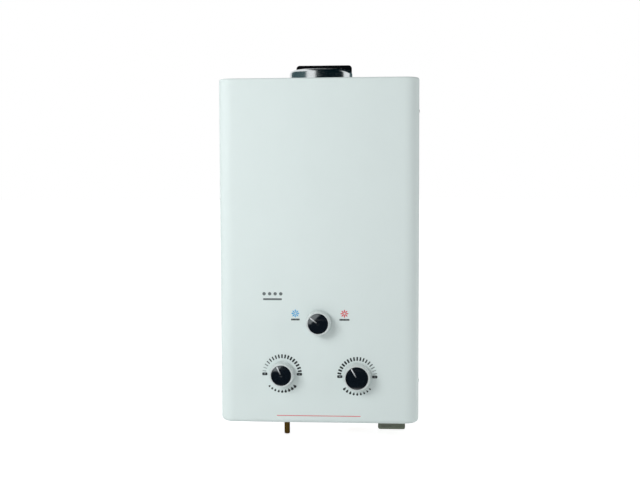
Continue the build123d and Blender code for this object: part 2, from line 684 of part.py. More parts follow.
# Jacket coil: from the water valve up the right side, round the chamber, then up to the first tube
coil_x = tube_end
coil_back = -(chamber_back - COIL_SETOFF)
coil_front = -(chamber_front + COIL_SETOFF)
coil_start = bottom + CHAMBER_FOOT + COIL_FOOT_RISE
crossing_level = bottom + tray_foot - COIL_LEVEL_BELOW_TRAY
coil_route = [
    (WATER_X, -COIL_RISER_DEPTH, bottom + water_top + OUTLET_BOSS_HEIGHT),
    (WATER_X, -COIL_RISER_DEPTH, crossing_level),
    (coil_x, -COIL_RISER_DEPTH, crossing_level),
    (coil_x, -COIL_RISER_DEPTH, coil_start),
    (coil_x, coil_back, coil_start + COIL_LIFT),
    (-coil_x, coil_back, coil_start + 2 * COIL_LIFT),
    (-coil_x, coil_front, coil_start + 3 * COIL_LIFT),
    (coil_x, coil_front, coil_start + 4 * COIL_LIFT),
    (coil_x, -FLUE_DEPTH + tube_rows[-1], coil_start + 5 * COIL_LIFT),
    (coil_x, -FLUE_DEPTH + tube_rows[-1], tube_level - TUBE_END_DROP),
]
coil_bends = [COIL_FOOT_BEND, COIL_FOOT_BEND] + [COIL_BEND] * (len(coil_route) - 4)
jacket_coil = bent_tube(coil_route, coil_bends, TUBE_DIAMETER)
pieces["jacket_coil"] = jacket_coil

# Hot pipe: from the last tube down the left side to the hot outlet
hot_depth = -FLUE_DEPTH + tube_rows[0]
hot_route = [
    (-tube_end, hot_depth, tube_level - TUBE_END_DROP),
    (-tube_end, hot_depth, tube_level - TUBE_END_DROP - HOT_PIPE_JOG),
    (hot_pipe_x, hot_depth, tube_level - TUBE_END_DROP - 2 * HOT_PIPE_JOG),
    (hot_pipe_x, hot_depth, bottom + HOT_PIPE_LEVEL),
    (hot_pipe_x, -HOT_OUTLET_DEPTH, bottom + HOT_PIPE_LEVEL),
    (hot_pipe_x, -HOT_OUTLET_DEPTH, bottom + HOT_OUTLET_TOP),
]
hot_bends = [HOT_PIPE_JOG_BEND, HOT_PIPE_JOG_BEND, HOT_PIPE_BEND, HOT_PIPE_BEND]
hot_pipe = bent_tube(hot_route, hot_bends, TUBE_DIAMETER)
pieces["hot_pipe"] = hot_pipe

# Overheat thermostat: a small can that sits on the front of the hot pipe
with BuildPart() as overheat_thermostat:
    with BuildSketch(upright(-hot_depth + tube_radius)):
        with Locations((hot_pipe_x, bottom + THERMOSTAT_HEIGHT)):
            Circle(THERMOSTAT_DIAMETER / 2)
    extrude(amount=THERMOSTAT_THICKNESS)
    chamfer(overheat_thermostat.faces().sort_by(Axis.Y)[0].edges(), THERMOSTAT_CHAMFER)
pieces["overheat_thermostat"] = overheat_thermostat

# Brackets from the back plate to the chamber and to the burner tray
with BuildPart() as chamber_brackets:
    for foot in (CHAMBER_BRACKET_HIGH, CHAMBER_BRACKET_LOW):
        for x in (-CHAMBER_BRACKET_SPACING / 2, CHAMBER_BRACKET_SPACING / 2):
            bracket_section = folded_sheet(
                sideways(x - CHAMBER_BRACKET_WIDTH / 2),
                [
                    (-BACK_SHEET, bottom + foot + CHAMBER_BRACKET_FLANGE),
                    (-BACK_SHEET, bottom + foot),
                    (-chamber_back + CHAMBER_BRACKET_SHEET, bottom + foot),
                    (-chamber_back + CHAMBER_BRACKET_SHEET, bottom + foot - CHAMBER_BRACKET_FLANGE),
                ],
                2 * CHAMBER_BRACKET_SHEET,
                CHAMBER_BRACKET_SHEET,
                Side.RIGHT,
            )
            extrude(bracket_section, amount=CHAMBER_BRACKET_WIDTH)
pieces["chamber_brackets"] = chamber_brackets

# Burner tray: a rim under the chamber with lips that carry the bars
with BuildPart() as burner_tray:
    with BuildSketch(level(tray_foot)):
        with Locations((0, -FLUE_DEPTH)):
            RectangleRounded(chamber_width, CHAMBER_DEPTH, CHAMBER_CORNER)
            Rectangle(
                chamber_width - 2 * CHAMBER_CORNER, CHAMBER_DEPTH - 2 * TRAY_LIP, mode=Mode.SUBTRACT
            )
    extrude(amount=CHAMBER_SHEET)
    with BuildSketch(level(tray_foot + CHAMBER_SHEET)):
        with Locations((0, -FLUE_DEPTH)):
            RectangleRounded(chamber_width, CHAMBER_DEPTH, CHAMBER_CORNER)
            RectangleRounded(
                chamber_width - 2 * CHAMBER_SHEET,
                CHAMBER_DEPTH - 2 * CHAMBER_SHEET,
                CHAMBER_CORNER - CHAMBER_SHEET,
                mode=Mode.SUBTRACT,
            )
    extrude(amount=TRAY_HEIGHT - CHAMBER_SHEET)
    with BuildSketch(upright(chamber_front - CHAMBER_SHEET - OVERRUN)):
        with Locations(
            (-ELECTRODE_X, bottom + CHAMBER_FOOT - ELECTRODE_DROP),
            (ELECTRODE_X, bottom + CHAMBER_FOOT - ELECTRODE_DROP),
        ):
            Circle(ELECTRODE_DIAMETER / 2 + RUNNING_GAP)
    extrude(amount=CHAMBER_SHEET + 2 * OVERRUN, mode=Mode.SUBTRACT)
pieces["burner_tray"] = burner_tray

# Burner bars: a ported head that rests on the lips, and a throat below that takes the gas jet
bar_length = CHAMBER_DEPTH - 2 * CHAMBER_SHEET - 2 * SHEET_GAP
bar_seat = tray_foot + CHAMBER_SHEET
throat_front = chamber_front - TRAY_LIP - SHEET_GAP
throat_middle = bar_seat - BAR_THROAT_HEIGHT / 2
bar_places = [(bar - (BAR_COUNT - 1) / 2) * bar_pitch for bar in range(BAR_COUNT)]
with BuildPart() as burner_bars:
    for bar_x in bar_places:
        with BuildSketch(sideways(bar_x - BAR_WIDTH / 2)) as bar_side:
            with Locations((-FLUE_DEPTH, bottom + bar_seat + BAR_HEAD_HEIGHT / 2)):
                RectangleRounded(bar_length, BAR_HEAD_HEIGHT, BAR_CORNER)
            with Locations((-throat_front + bar_throat_length / 2, bottom + throat_middle)):
                RectangleRounded(bar_throat_length, BAR_THROAT_HEIGHT, BAR_CORNER)
            with Locations((-throat_front + bar_throat_length - BAR_NECK_LENGTH / 2, bottom + bar_seat)):
                Rectangle(BAR_NECK_LENGTH, BAR_THROAT_HEIGHT)
        extrude(amount=BAR_WIDTH)
    port_pitch = bar_length / (BAR_PORT_COUNT + 1)
    with BuildSketch(level(bar_seat + BAR_HEAD_HEIGHT)):
        with Locations((0, -FLUE_DEPTH)):
            with GridLocations(0, port_pitch, 1, BAR_PORT_COUNT):
                Rectangle(chamber_width, BAR_PORT_WIDTH)
    extrude(amount=-BAR_PORT_DEPTH, mode=Mode.SUBTRACT)
    with BuildSketch(upright(throat_front)):
        with Locations(*[(bar_x, bottom + throat_middle) for bar_x in bar_places]):
            Circle(BAR_MOUTH_DIAMETER / 2)
    extrude(amount=-BAR_MOUTH_DEPTH, mode=Mode.SUBTRACT)
pieces["burner_bars"] = burner_bars

# Gas manifold: two closed tubes, left and right of the season valve
manifold_level = bottom + throat_middle
manifold_reach = bar_places[-1] + MANIFOLD_END_MARGIN
block_half = SEASON_BLOCK_WIDTH / 2
with BuildPart() as gas_manifold:
    for side_x, end_x in ((SEASON_X + block_half, manifold_reach), (SEASON_X - block_half, -manifold_reach)):
        with BuildSketch(sideways(side_x)):
            with Locations((-MANIFOLD_DEPTH, manifold_level)):
                Circle(MANIFOLD_DIAMETER / 2)
        extrude(amount=end_x - side_x)
        with BuildSketch(sideways(side_x)):
            with Locations((-MANIFOLD_DEPTH, manifold_level)):
                Circle(MANIFOLD_DIAMETER / 2 - MANIFOLD_WALL)
        wall_share = 1 - MANIFOLD_WALL / abs(end_x - side_x)
        extrude(amount=(end_x - side_x) * wall_share, mode=Mode.SUBTRACT)
    with BuildSketch(upright(MANIFOLD_DEPTH)):
        with Locations(*[(bar_x, manifold_level) for bar_x in bar_places]):
            Circle(INJECTOR_DIAMETER / 2 + RUNNING_GAP)
    extrude(amount=-MANIFOLD_DIAMETER, mode=Mode.SUBTRACT)
pieces["gas_manifold"] = gas_manifold

# Injectors: brass jets in the manifold, one behind each bar's mouth
with BuildPart() as injectors:
    with BuildSketch(upright(MANIFOLD_DEPTH)):
        with Locations(*[(bar_x, manifold_level) for bar_x in bar_places]):
            Circle(INJECTOR_DIAMETER / 2)
    extrude(amount=-(MANIFOLD_DEPTH - throat_front - INJECTOR_TIP_LENGTH))
    with BuildSketch(upright(throat_front + INJECTOR_TIP_LENGTH)):
        with Locations(*[(bar_x, manifold_level) for bar_x in bar_places]):
            Circle(INJECTOR_TIP_DIAMETER / 2)
    extrude(amount=-2 * INJECTOR_TIP_LENGTH)
pieces["injectors"] = injectors


def electrode(x):
    """Ceramic electrode through the tray's front wall, with a bare pin over the bars."""
    wall = chamber_front
    axis_height = bottom + CHAMBER_FOOT - ELECTRODE_DROP
    collar_radius = ELECTRODE_COLLAR_DIAMETER / 2
    body_radius = ELECTRODE_DIAMETER / 2
    pin_radius = ELECTRODE_PIN_DIAMETER / 2
    inner_end = wall - ELECTRODE_INSIDE
    outer_end = wall + ELECTRODE_OUTSIDE
    with BuildPart() as rod:
        with BuildSketch(Plane((x, 0, axis_height))):
            with BuildLine():
                Polyline(
                    (0, -outer_end),
                    (body_radius, -outer_end),
                    (body_radius, -wall - ELECTRODE_COLLAR_THICKNESS),
                    (collar_radius, -wall - ELECTRODE_COLLAR_THICKNESS),
                    (collar_radius, -wall),
                    (body_radius, -wall),
                    (body_radius, -inner_end),
                    (pin_radius, -inner_end),
                    (pin_radius, -inner_end + ELECTRODE_PIN_LENGTH),
                    (0, -inner_end + ELECTRODE_PIN_LENGTH),
                    close=True,
                )
            make_face()
        revolve(axis=Axis((x, 0, axis_height), (0, 1, 0)))
    return rod


pieces["ignition_electrode"] = electrode(ELECTRODE_X)
pieces["flame_sensor"] = electrode(-ELECTRODE_X)

# Season valve: a block in the middle of the manifold, bored for its spindle
season_back = MANIFOLD_DEPTH - SEASON_BLOCK_DEPTH / 2
season_front = MANIFOLD_DEPTH + SEASON_BLOCK_DEPTH / 2
season_foot = min(SEASON_HEIGHT, throat_middle) - SEASON_BLOCK_MARGIN
season_top = max(SEASON_HEIGHT, throat_middle) + SEASON_BLOCK_MARGIN
with BuildPart() as season_valve:
    with BuildSketch(upright(season_back)):
        with Locations((SEASON_X, bottom + (season_foot + season_top) / 2)):
            Rectangle(SEASON_BLOCK_WIDTH, season_top - season_foot)
    extrude(amount=SEASON_BLOCK_DEPTH)
    chamfer(season_valve.edges().filter_by(Axis.Y), SEASON_CHAMFER)
    with BuildSketch(upright(season_front)):
        with Locations((SEASON_X, bottom + SEASON_HEIGHT)):
            Circle(SPINDLE_DIAMETER / 2 + RUNNING_GAP)
    extrude(amount=-SEASON_BORE_DEPTH, mode=Mode.SUBTRACT)
pieces["season_valve"] = season_valve


def valve_body(left, right, foot, height, x, spindle_height):
    """Cast valve block with a boss at the front that is bored for the control spindle."""
    boss_front = VALVE_FRONT + VALVE_BOSS_LENGTH
    with BuildPart() as body:
        with BuildSketch(upright(VALVE_BACK)):
            with Locations(((left + right) / 2, bottom + foot + height / 2)):
                RectangleRounded(right - left, height, VALVE_CORNER)
        extrude(amount=VALVE_FRONT - VALVE_BACK)
        with BuildSketch(upright(VALVE_FRONT)):
            with Locations((x, bottom + spindle_height)):
                Circle(VALVE_BOSS_DIAMETER / 2)
        extrude(amount=VALVE_BOSS_LENGTH)
        with BuildSketch(upright(boss_front)):
            with Locations((x, bottom + spindle_height)):
                Circle(SPINDLE_DIAMETER / 2 + RUNNING_GAP)
        extrude(amount=-VALVE_BORE_DEPTH, mode=Mode.SUBTRACT)
    return body


# Gas valve: block with the push rod's bore in its right side
gas_block = valve_body(gas_left, gas_right, gas_foot, gas_top - gas_foot, GAS_X, GAS_HEIGHT)
with BuildPart() as gas_valve_body:
    add(gas_block.part)
    with BuildSketch(link_plane.offset(gas_right)):
        Circle(ROD_DIAMETER / 2 + RUNNING_GAP)
    extrude(amount=-(ROD_INSERTION + ROD_TRAVEL + MOVING_GAP), mode=Mode.SUBTRACT)
pieces["gas_valve_body"] = gas_valve_body

# Solenoid that shuts the gas off, on the valve's left end
with BuildPart() as solenoid_valve:
    with BuildSketch(link_plane.offset(gas_left)):
        Circle(SOLENOID_DIAMETER / 2)
    extrude(amount=-SOLENOID_LENGTH)
    with BuildSketch(link_plane.offset(gas_left - SOLENOID_LENGTH)):
        Circle(SOLENOID_CAP_DIAMETER / 2)
    extrude(amount=-SOLENOID_CAP_LENGTH)
pieces["solenoid_valve"] = solenoid_valve

# Gas riser from the gas valve to the season valve
riser_level = bottom + (gas_top + season_foot) / 2
riser_route = [
    (GAS_RISER_X, -COIL_RISER_DEPTH, bottom + gas_top),
    (GAS_RISER_X, -COIL_RISER_DEPTH, riser_level),
    (SEASON_X, -MANIFOLD_DEPTH, riser_level),
    (SEASON_X, -MANIFOLD_DEPTH, bottom + season_foot),
]
pieces["gas_riser"] = bent_tube(riser_route, RISER_BEND, RISER_DIAMETER)

# Gas inlet: a plain brass tail with a bore and a chamfered end, held by a hexagon nut
with BuildPart() as gas_inlet:
    with BuildSketch(level(-GAS_INLET_REACH)):
        with Locations((GAS_INLET_X, -GAS_INLET_DEPTH)):
            Circle(GAS_INLET_DIAMETER / 2)
    extrude(amount=GAS_INLET_REACH)
    chamfer(gas_inlet.faces().sort_by(Axis.Z)[0].edges(), GAS_INLET_CHAMFER)
    with BuildSketch(level(0)):
        with Locations((GAS_INLET_X, -GAS_INLET_DEPTH)):
            Circle(GAS_STEM_DIAMETER / 2)
    extrude(amount=gas_foot)
    with BuildSketch(level(-GAS_INLET_REACH)):
        with Locations((GAS_INLET_X, -GAS_INLET_DEPTH)):
            Circle(GAS_INLET_BORE / 2)
    extrude(amount=GAS_INLET_REACH + gas_foot, mode=Mode.SUBTRACT)
pieces["gas_inlet"] = gas_inlet

with BuildPart() as gas_inlet_nut:
    with BuildSketch(level(gas_foot - GAS_NUT_HEIGHT)):
        with Locations((GAS_INLET_X, -GAS_INLET_DEPTH)):
            RegularPolygon(GAS_NUT_FLATS / 2, 6, major_radius=False)
            Circle(GAS_STEM_DIAMETER / 2 + RUNNING_GAP, mode=Mode.SUBTRACT)
    extrude(amount=GAS_NUT_HEIGHT)
pieces["gas_inlet_nut"] = gas_inlet_nut

# Water valve: block with an outlet boss on top and a round diaphragm flange at its left
water_block = valve_body(
    water_left, water_right, water_foot, water_top - water_foot, WATER_X, WATER_HEIGHT
)
with BuildPart() as water_valve_body:
    add(water_block.part)
    with BuildSketch(link_plane.offset(water_left)):
        Circle(DIAPHRAGM_DIAMETER / 2)
    extrude(amount=-DIAPHRAGM_FLANGE)
    with BuildSketch(link_plane.offset(diaphragm_x)):
        with PolarLocations(DIAPHRAGM_SCREW_CIRCLE / 2, DIAPHRAGM_SCREW_COUNT):
            Circle(DIAPHRAGM_SCREW_DIAMETER / 2 + RUNNING_GAP)
    extrude(amount=DIAPHRAGM_FLANGE, mode=Mode.SUBTRACT)
    with BuildSketch(level(water_top)):
        with Locations((WATER_X, -COIL_RISER_DEPTH)):
            Circle(OUTLET_BOSS_DIAMETER / 2)
    extrude(amount=OUTLET_BOSS_HEIGHT)
pieces["water_valve_body"] = water_valve_body

with BuildPart() as diaphragm:
    with BuildSketch(link_plane.offset(diaphragm_x - DIAPHRAGM_THICKNESS)):
        Circle(DIAPHRAGM_DIAMETER / 2)
        with PolarLocations(DIAPHRAGM_SCREW_CIRCLE / 2, DIAPHRAGM_SCREW_COUNT):
            Circle(DIAPHRAGM_SCREW_DIAMETER / 2 + RUNNING_GAP, mode=Mode.SUBTRACT)
    extrude(amount=DIAPHRAGM_THICKNESS)
pieces["diaphragm"] = diaphragm

# Diaphragm cover: a dish over the rod's plate, bored for the rod
cover_right_x = diaphragm_x - DIAPHRAGM_THICKNESS
with BuildPart() as diaphragm_cover:
    with BuildSketch(link_plane.offset(cover_right_x)):
        Circle(DIAPHRAGM_DIAMETER / 2)
    extrude(amount=-DIAPHRAGM_COVER_DEPTH)
    with BuildSketch(link_plane.offset(cover_right_x)):
        Circle(DIAPHRAGM_CAVITY_DIAMETER / 2)
    extrude(amount=-DIAPHRAGM_CAVITY_DEPTH, mode=Mode.SUBTRACT)
    with BuildSketch(link_plane.offset(cover_face_x)):
        Circle(ROD_DIAMETER / 2 + RUNNING_GAP)
        with PolarLocations(DIAPHRAGM_SCREW_CIRCLE / 2, DIAPHRAGM_SCREW_COUNT):
            Circle(DIAPHRAGM_SCREW_DIAMETER / 2 + RUNNING_GAP)
    extrude(amount=DIAPHRAGM_COVER_DEPTH, mode=Mode.SUBTRACT)
pieces["diaphragm_cover"] = diaphragm_cover

with BuildPart() as diaphragm_screws:
    with BuildSketch(link_plane.offset(cover_face_x)):
        with PolarLocations(DIAPHRAGM_SCREW_CIRCLE / 2, DIAPHRAGM_SCREW_COUNT):
            Circle(DIAPHRAGM_SCREW_DIAMETER / 2)
    extrude(amount=water_left - cover_face_x)
    with BuildSketch(link_plane.offset(cover_face_x)):
        with PolarLocations(DIAPHRAGM_SCREW_CIRCLE / 2, DIAPHRAGM_SCREW_COUNT):
            Circle(DIAPHRAGM_SCREW_HEAD / 2)
    extrude(amount=-DIAPHRAGM_SCREW_HEAD_HEIGHT)
pieces["diaphragm_screws"] = diaphragm_screws

# Drain plug under the water valve
with BuildPart() as drain_plug:
    with BuildSketch(level(water_foot)):
        with Locations((water_port_x, -DRAIN_DEPTH)):
            Circle(DRAIN_DIAMETER / 2)
    extrude(amount=-DRAIN_LENGTH)
    with BuildSketch(level(water_foot - DRAIN_LENGTH)):
        with Locations((water_port_x, -DRAIN_DEPTH)):
            RegularPolygon(DRAIN_HEAD_DIAMETER / 2, 6, major_radius=False)
    extrude(amount=-DRAIN_HEAD_HEIGHT)
pieces["drain_plug"] = drain_plug

# Push rod: slides left when water flows, with a plate at the diaphragm and a collar for the switch
switch_right_x = gas_right + SWITCH_LENGTH
lever_x = switch_right_x - LEVER_SETBACK
collar_left_x = lever_x + LEVER_WIDTH / 2 + MOVING_GAP
plate_right_x = cover_right_x - MOVING_GAP
with BuildPart() as push_rod:
    with BuildSketch(link_plane.offset(gas_right - ROD_INSERTION)):
        Circle(ROD_DIAMETER / 2)
    extrude(amount=plate_right_x - (gas_right - ROD_INSERTION))
    with BuildSketch(link_plane.offset(plate_right_x)):
        Circle(ROD_PLATE_DIAMETER / 2)
    extrude(amount=-ROD_PLATE_THICKNESS)
    with BuildSketch(link_plane.offset(collar_left_x)):
        Circle(ROD_COLLAR_DIAMETER / 2)
    extrude(amount=ROD_COLLAR_WIDTH)
pieces["push_rod"] = push_rod

# Microswitch on the gas valve's side, with three terminals on top and a hinged lever at its front
switch_front = LINK_DEPTH + SWITCH_THICKNESS / 2
switch_foot = LINK_HEIGHT + SWITCH_RISE
lever_pivot = LINK_HEIGHT + LEVER_PIVOT_RISE
with BuildPart() as microswitch:
    with BuildSketch(upright(switch_front - SWITCH_THICKNESS)):
        with Locations((gas_right + SWITCH_LENGTH / 2, bottom + switch_foot + SWITCH_HEIGHT / 2)):
            Rectangle(SWITCH_LENGTH, SWITCH_HEIGHT)
    extrude(amount=SWITCH_THICKNESS)
    with BuildSketch(level(switch_foot + SWITCH_HEIGHT)):
        with Locations((gas_right + SWITCH_LENGTH / 2, -LINK_DEPTH)):
            with GridLocations(SWITCH_TERMINAL_PITCH, 0, SWITCH_TERMINAL_COUNT, 1):
                Rectangle(SWITCH_TERMINAL_SHEET, SWITCH_TERMINAL_WIDTH)
    extrude(amount=SWITCH_TERMINAL_HEIGHT)
    with BuildSketch(upright(switch_front)):
        with Locations((lever_x, bottom + lever_pivot)):
            Circle(LEVER_PIN_DIAMETER / 2 + RUNNING_GAP)
    extrude(amount=-LEVER_PIN_DEPTH - MOVING_GAP, mode=Mode.SUBTRACT)
pieces["microswitch"] = microswitch

with BuildPart() as microswitch_lever:
    with BuildSketch(upright(switch_front + MOVING_GAP)):
        with Locations((lever_x, bottom + lever_pivot)):
            SlotOverall(2 * LEVER_ARM, LEVER_WIDTH, rotation=90)
    extrude(amount=LEVER_SHEET)
    with BuildSketch(upright(switch_front + MOVING_GAP)):
        with Locations((lever_x, bottom + lever_pivot)):
            Circle(LEVER_PIN_DIAMETER / 2)
    extrude(amount=-LEVER_PIN_DEPTH)
pieces["microswitch_lever"] = microswitch_lever

# Bracket that carries both valves on the back plate
with BuildPart() as valve_bracket:
    bracket_section = folded_sheet(
        sideways(gas_left),
        [
            (-BACK_SHEET, bottom + VALVE_BRACKET_HEIGHT + VALVE_BRACKET_FLANGE),
            (-BACK_SHEET, bottom + VALVE_BRACKET_HEIGHT),
            (-VALVE_BACK + VALVE_BRACKET_SHEET, bottom + VALVE_BRACKET_HEIGHT),
            (-VALVE_BACK + VALVE_BRACKET_SHEET, bottom + VALVE_BRACKET_HEIGHT - VALVE_BRACKET_FLANGE),
        ],
        2 * VALVE_BRACKET_SHEET,
        VALVE_BRACKET_SHEET,
        Side.RIGHT,
    )
    extrude(bracket_section, amount=water_right - gas_left)
pieces["valve_bracket"] = valve_bracket


def pipe_connection(x, depth, neck_top):
    """Half-inch thread below the floor plate, a spigot through it, a hexagon on it and a neck above."""
    with BuildPart() as connection:
        with BuildSketch(level(-PIPE_REACH)):
            with Locations((x, -depth)):
                Circle(PIPE_THREAD_DIAMETER / 2)
        extrude(amount=PIPE_REACH)
        chamfer(connection.faces().sort_by(Axis.Z)[0].edges(), PIPE_CHAMFER)
        with BuildSketch(level(0)):
            with Locations((x, -depth)):
                Circle(PIPE_SPIGOT_DIAMETER / 2)
        extrude(amount=floor_top)
        with BuildSketch(level(floor_top)):
            with Locations((x, -depth)):
                RegularPolygon(PIPE_HEX_FLATS / 2, 6, major_radius=False)
        extrude(amount=PIPE_HEX_HEIGHT)
        with BuildSketch(level(floor_top + PIPE_HEX_HEIGHT)):
            with Locations((x, -depth)):
                Circle(PIPE_NECK_DIAMETER / 2)
        extrude(amount=neck_top - floor_top - PIPE_HEX_HEIGHT)
        with BuildSketch(level(-PIPE_REACH)):
            with Locations((x, -depth)):
                Circle(PIPE_BORE_DIAMETER / 2)
        extrude(amount=PIPE_REACH + floor_top + PIPE_HEX_HEIGHT, mode=Mode.SUBTRACT)
    return connection


pieces["water_inlet"] = pipe_connection(water_port_x, WATER_INLET_DEPTH, water_foot)
pieces["hot_outlet"] = pipe_connection(hot_pipe_x, HOT_OUTLET_DEPTH, HOT_OUTLET_TOP)

# Igniter box on the back plate, ribbed at the front, with a stub for the spark lead below
with BuildPart() as igniter_box:
    with BuildSketch(upright(BACK_SHEET)):
        with Locations((igniter_x, bottom + igniter_foot + IGNITER_HEIGHT / 2)):
            RectangleRounded(IGNITER_WIDTH, IGNITER_HEIGHT, IGNITER_CORNER)
    extrude(amount=IGNITER_DEPTH)
    with BuildSketch(upright(BACK_SHEET + IGNITER_DEPTH)):
        with Locations((igniter_x, bottom + igniter_foot + IGNITER_HEIGHT / 2)):
            with GridLocations(0, IGNITER_RIB_PITCH, 1, IGNITER_RIB_COUNT):
                Rectangle(IGNITER_WIDTH - 2 * IGNITER_CORNER, IGNITER_RIB_WIDTH)
    extrude(amount=IGNITER_RIB_HEIGHT)
    with BuildSketch(level(igniter_foot)):
        with Locations((igniter_x, -IGNITER_STUB_DEPTH)):
            Circle(IGNITER_STUB_DIAMETER / 2)
    extrude(amount=-IGNITER_STUB_LENGTH)
pieces["igniter_box"] = igniter_box

# Battery box: two upright cells side by side, open below, with a rim on the floor plate and hinge lugs
box_width = CELL_DIAMETER + 2 * CELL_GAP + 2 * BATTERY_WALL
box_depth = 2 * CELL_DIAMETER + 3 * CELL_GAP + 2 * BATTERY_WALL
box_back = BATTERY_DEPTH - box_depth / 2
hinge_depth = box_back - MOVING_GAP - HINGE_KNUCKLE_DIAMETER / 2
door_top = -BATTERY_BELOW - MOVING_GAP
cell_foot = door_top + DOOR_PAD_HEIGHT + MOVING_GAP
contact_foot = cell_foot + CELL_LENGTH + CELL_NUB_HEIGHT
box_height = contact_foot + CONTACT_SHEET + BATTERY_WALL + BATTERY_BELOW
hinge_height = door_top - DOOR_THICKNESS / 2
lug_height = HINGE_LUG_RISE + MOVING_GAP + DOOR_THICKNESS / 2
lug_middle = box_width / 2 - HINGE_LUG_WIDTH / 2
lug_centre = (hinge_depth + box_back + BATTERY_WALL) / 2
with BuildPart() as battery_box:
    with BuildSketch(level(-BATTERY_BELOW)):
        with Locations((battery_x, -BATTERY_DEPTH)):
            RectangleRounded(box_width, box_depth, BATTERY_CORNER)
    extrude(amount=box_height)
    with BuildSketch(level(floor_top)):
        with Locations((battery_x, -BATTERY_DEPTH)):
            RectangleRounded(
                box_width + 2 * BATTERY_RIM, box_depth + 2 * BATTERY_RIM, BATTERY_CORNER + BATTERY_RIM
            )
    extrude(amount=BATTERY_RIM_THICKNESS)
    for lug_x in (battery_x - lug_middle, battery_x + lug_middle):
        with BuildSketch(sideways(lug_x - HINGE_LUG_WIDTH / 2)):
            with Locations((-hinge_depth, bottom + hinge_height)):
                Circle(HINGE_KNUCKLE_DIAMETER / 2)
            with Locations((-lug_centre, bottom - BATTERY_BELOW + HINGE_LUG_RISE / 2)):
                Rectangle(box_back + BATTERY_WALL - hinge_depth, HINGE_LUG_RISE)
            with Locations((-hinge_depth, bottom + hinge_height + lug_height / 2)):
                Rectangle(HINGE_KNUCKLE_DIAMETER, lug_height)
        extrude(amount=HINGE_LUG_WIDTH)
    with BuildSketch(level(-BATTERY_BELOW)):
        with Locations((battery_x, -BATTERY_DEPTH)):
            Rectangle(box_width - 2 * BATTERY_WALL, box_depth - 2 * BATTERY_WALL)
    extrude(amount=box_height - BATTERY_WALL, mode=Mode.SUBTRACT)
    with BuildSketch(sideways(battery_x - box_width / 2)):
        with Locations((-hinge_depth, bottom + hinge_height)):
            Circle(HINGE_PIN_DIAMETER / 2 + RUNNING_GAP)
    extrude(amount=box_width, mode=Mode.SUBTRACT)
pieces["battery_box"] = battery_box

# Contacts under the box's top, and the two cells, one of them upside down
cell_pitch = CELL_DIAMETER + CELL_GAP
front_cell = (battery_x, -BATTERY_DEPTH - cell_pitch / 2)
rear_cell = (battery_x, -BATTERY_DEPTH + cell_pitch / 2)
with BuildPart() as battery_contacts:
    with BuildSketch(level(contact_foot)):
        with Locations(front_cell, rear_cell):
            Circle(CONTACT_DIAMETER / 2)
    extrude(amount=CONTACT_SHEET)
pieces["battery_contacts"] = battery_contacts

with BuildPart() as battery_cells:
    front_head = contact_foot - CELL_NUB_HEIGHT
    rear_head = contact_foot - CELL_LENGTH
    for place, head, way in ((front_cell, front_head, 1), (rear_cell, rear_head, -1)):
        with BuildSketch(level(head)):
            with Locations(place):
                Circle(CELL_DIAMETER / 2)
        extrude(amount=-way * CELL_LENGTH)
        with BuildSketch(level(head)):
            with Locations(place):
                Circle(CELL_NUB_DIAMETER / 2)
        extrude(amount=way * CELL_NUB_HEIGHT)
pieces["battery_cells"] = battery_cells

# Battery door: a rounded plate with a pad inside the box and a knuckle between the box's lugs
knuckle_width = box_width - 2 * HINGE_LUG_WIDTH - 2 * MOVING_GAP
with BuildPart() as battery_door:
    with BuildSketch(level(door_top)):
        with Locations((battery_x, -BATTERY_DEPTH)):
            RectangleRounded(box_width, box_depth, BATTERY_CORNER)
    extrude(amount=-DOOR_THICKNESS)
    fillet(battery_door.faces().sort_by(Axis.Z)[0].edges(), DOOR_ROUND - MOVING_GAP)
    with BuildSketch(sideways(battery_x - knuckle_width / 2)):
        with Locations((-hinge_depth, bottom + hinge_height)):
            Circle(HINGE_KNUCKLE_DIAMETER / 2)
        with Locations((-(hinge_depth + box_back + DOOR_ROUND) / 2, bottom + hinge_height)):
            Rectangle(box_back + DOOR_ROUND - hinge_depth, DOOR_THICKNESS)
    extrude(amount=knuckle_width)
    pad_inset = BATTERY_WALL + 2 * MOVING_GAP
    with BuildSketch(level(door_top)):
        with Locations((battery_x, -BATTERY_DEPTH)):
            Rectangle(box_width - 2 * pad_inset, box_depth - 2 * pad_inset - 2 * DOOR_PAD_HEIGHT)
    extrude(amount=DOOR_PAD_HEIGHT)
    with BuildSketch(sideways(battery_x - box_width / 2)):
        with Locations((-hinge_depth, bottom + hinge_height)):
            Circle(HINGE_PIN_DIAMETER / 2 + RUNNING_GAP)
    extrude(amount=box_width, mode=Mode.SUBTRACT)
pieces["battery_door"] = battery_door

with BuildPart() as door_hinge_pin:
    with BuildSketch(sideways(battery_x - box_width / 2)):
        with Locations((-hinge_depth, bottom + hinge_height)):
            Circle(HINGE_PIN_DIAMETER / 2)
    extrude(amount=box_width)
pieces["door_hinge_pin"] = door_hinge_pin

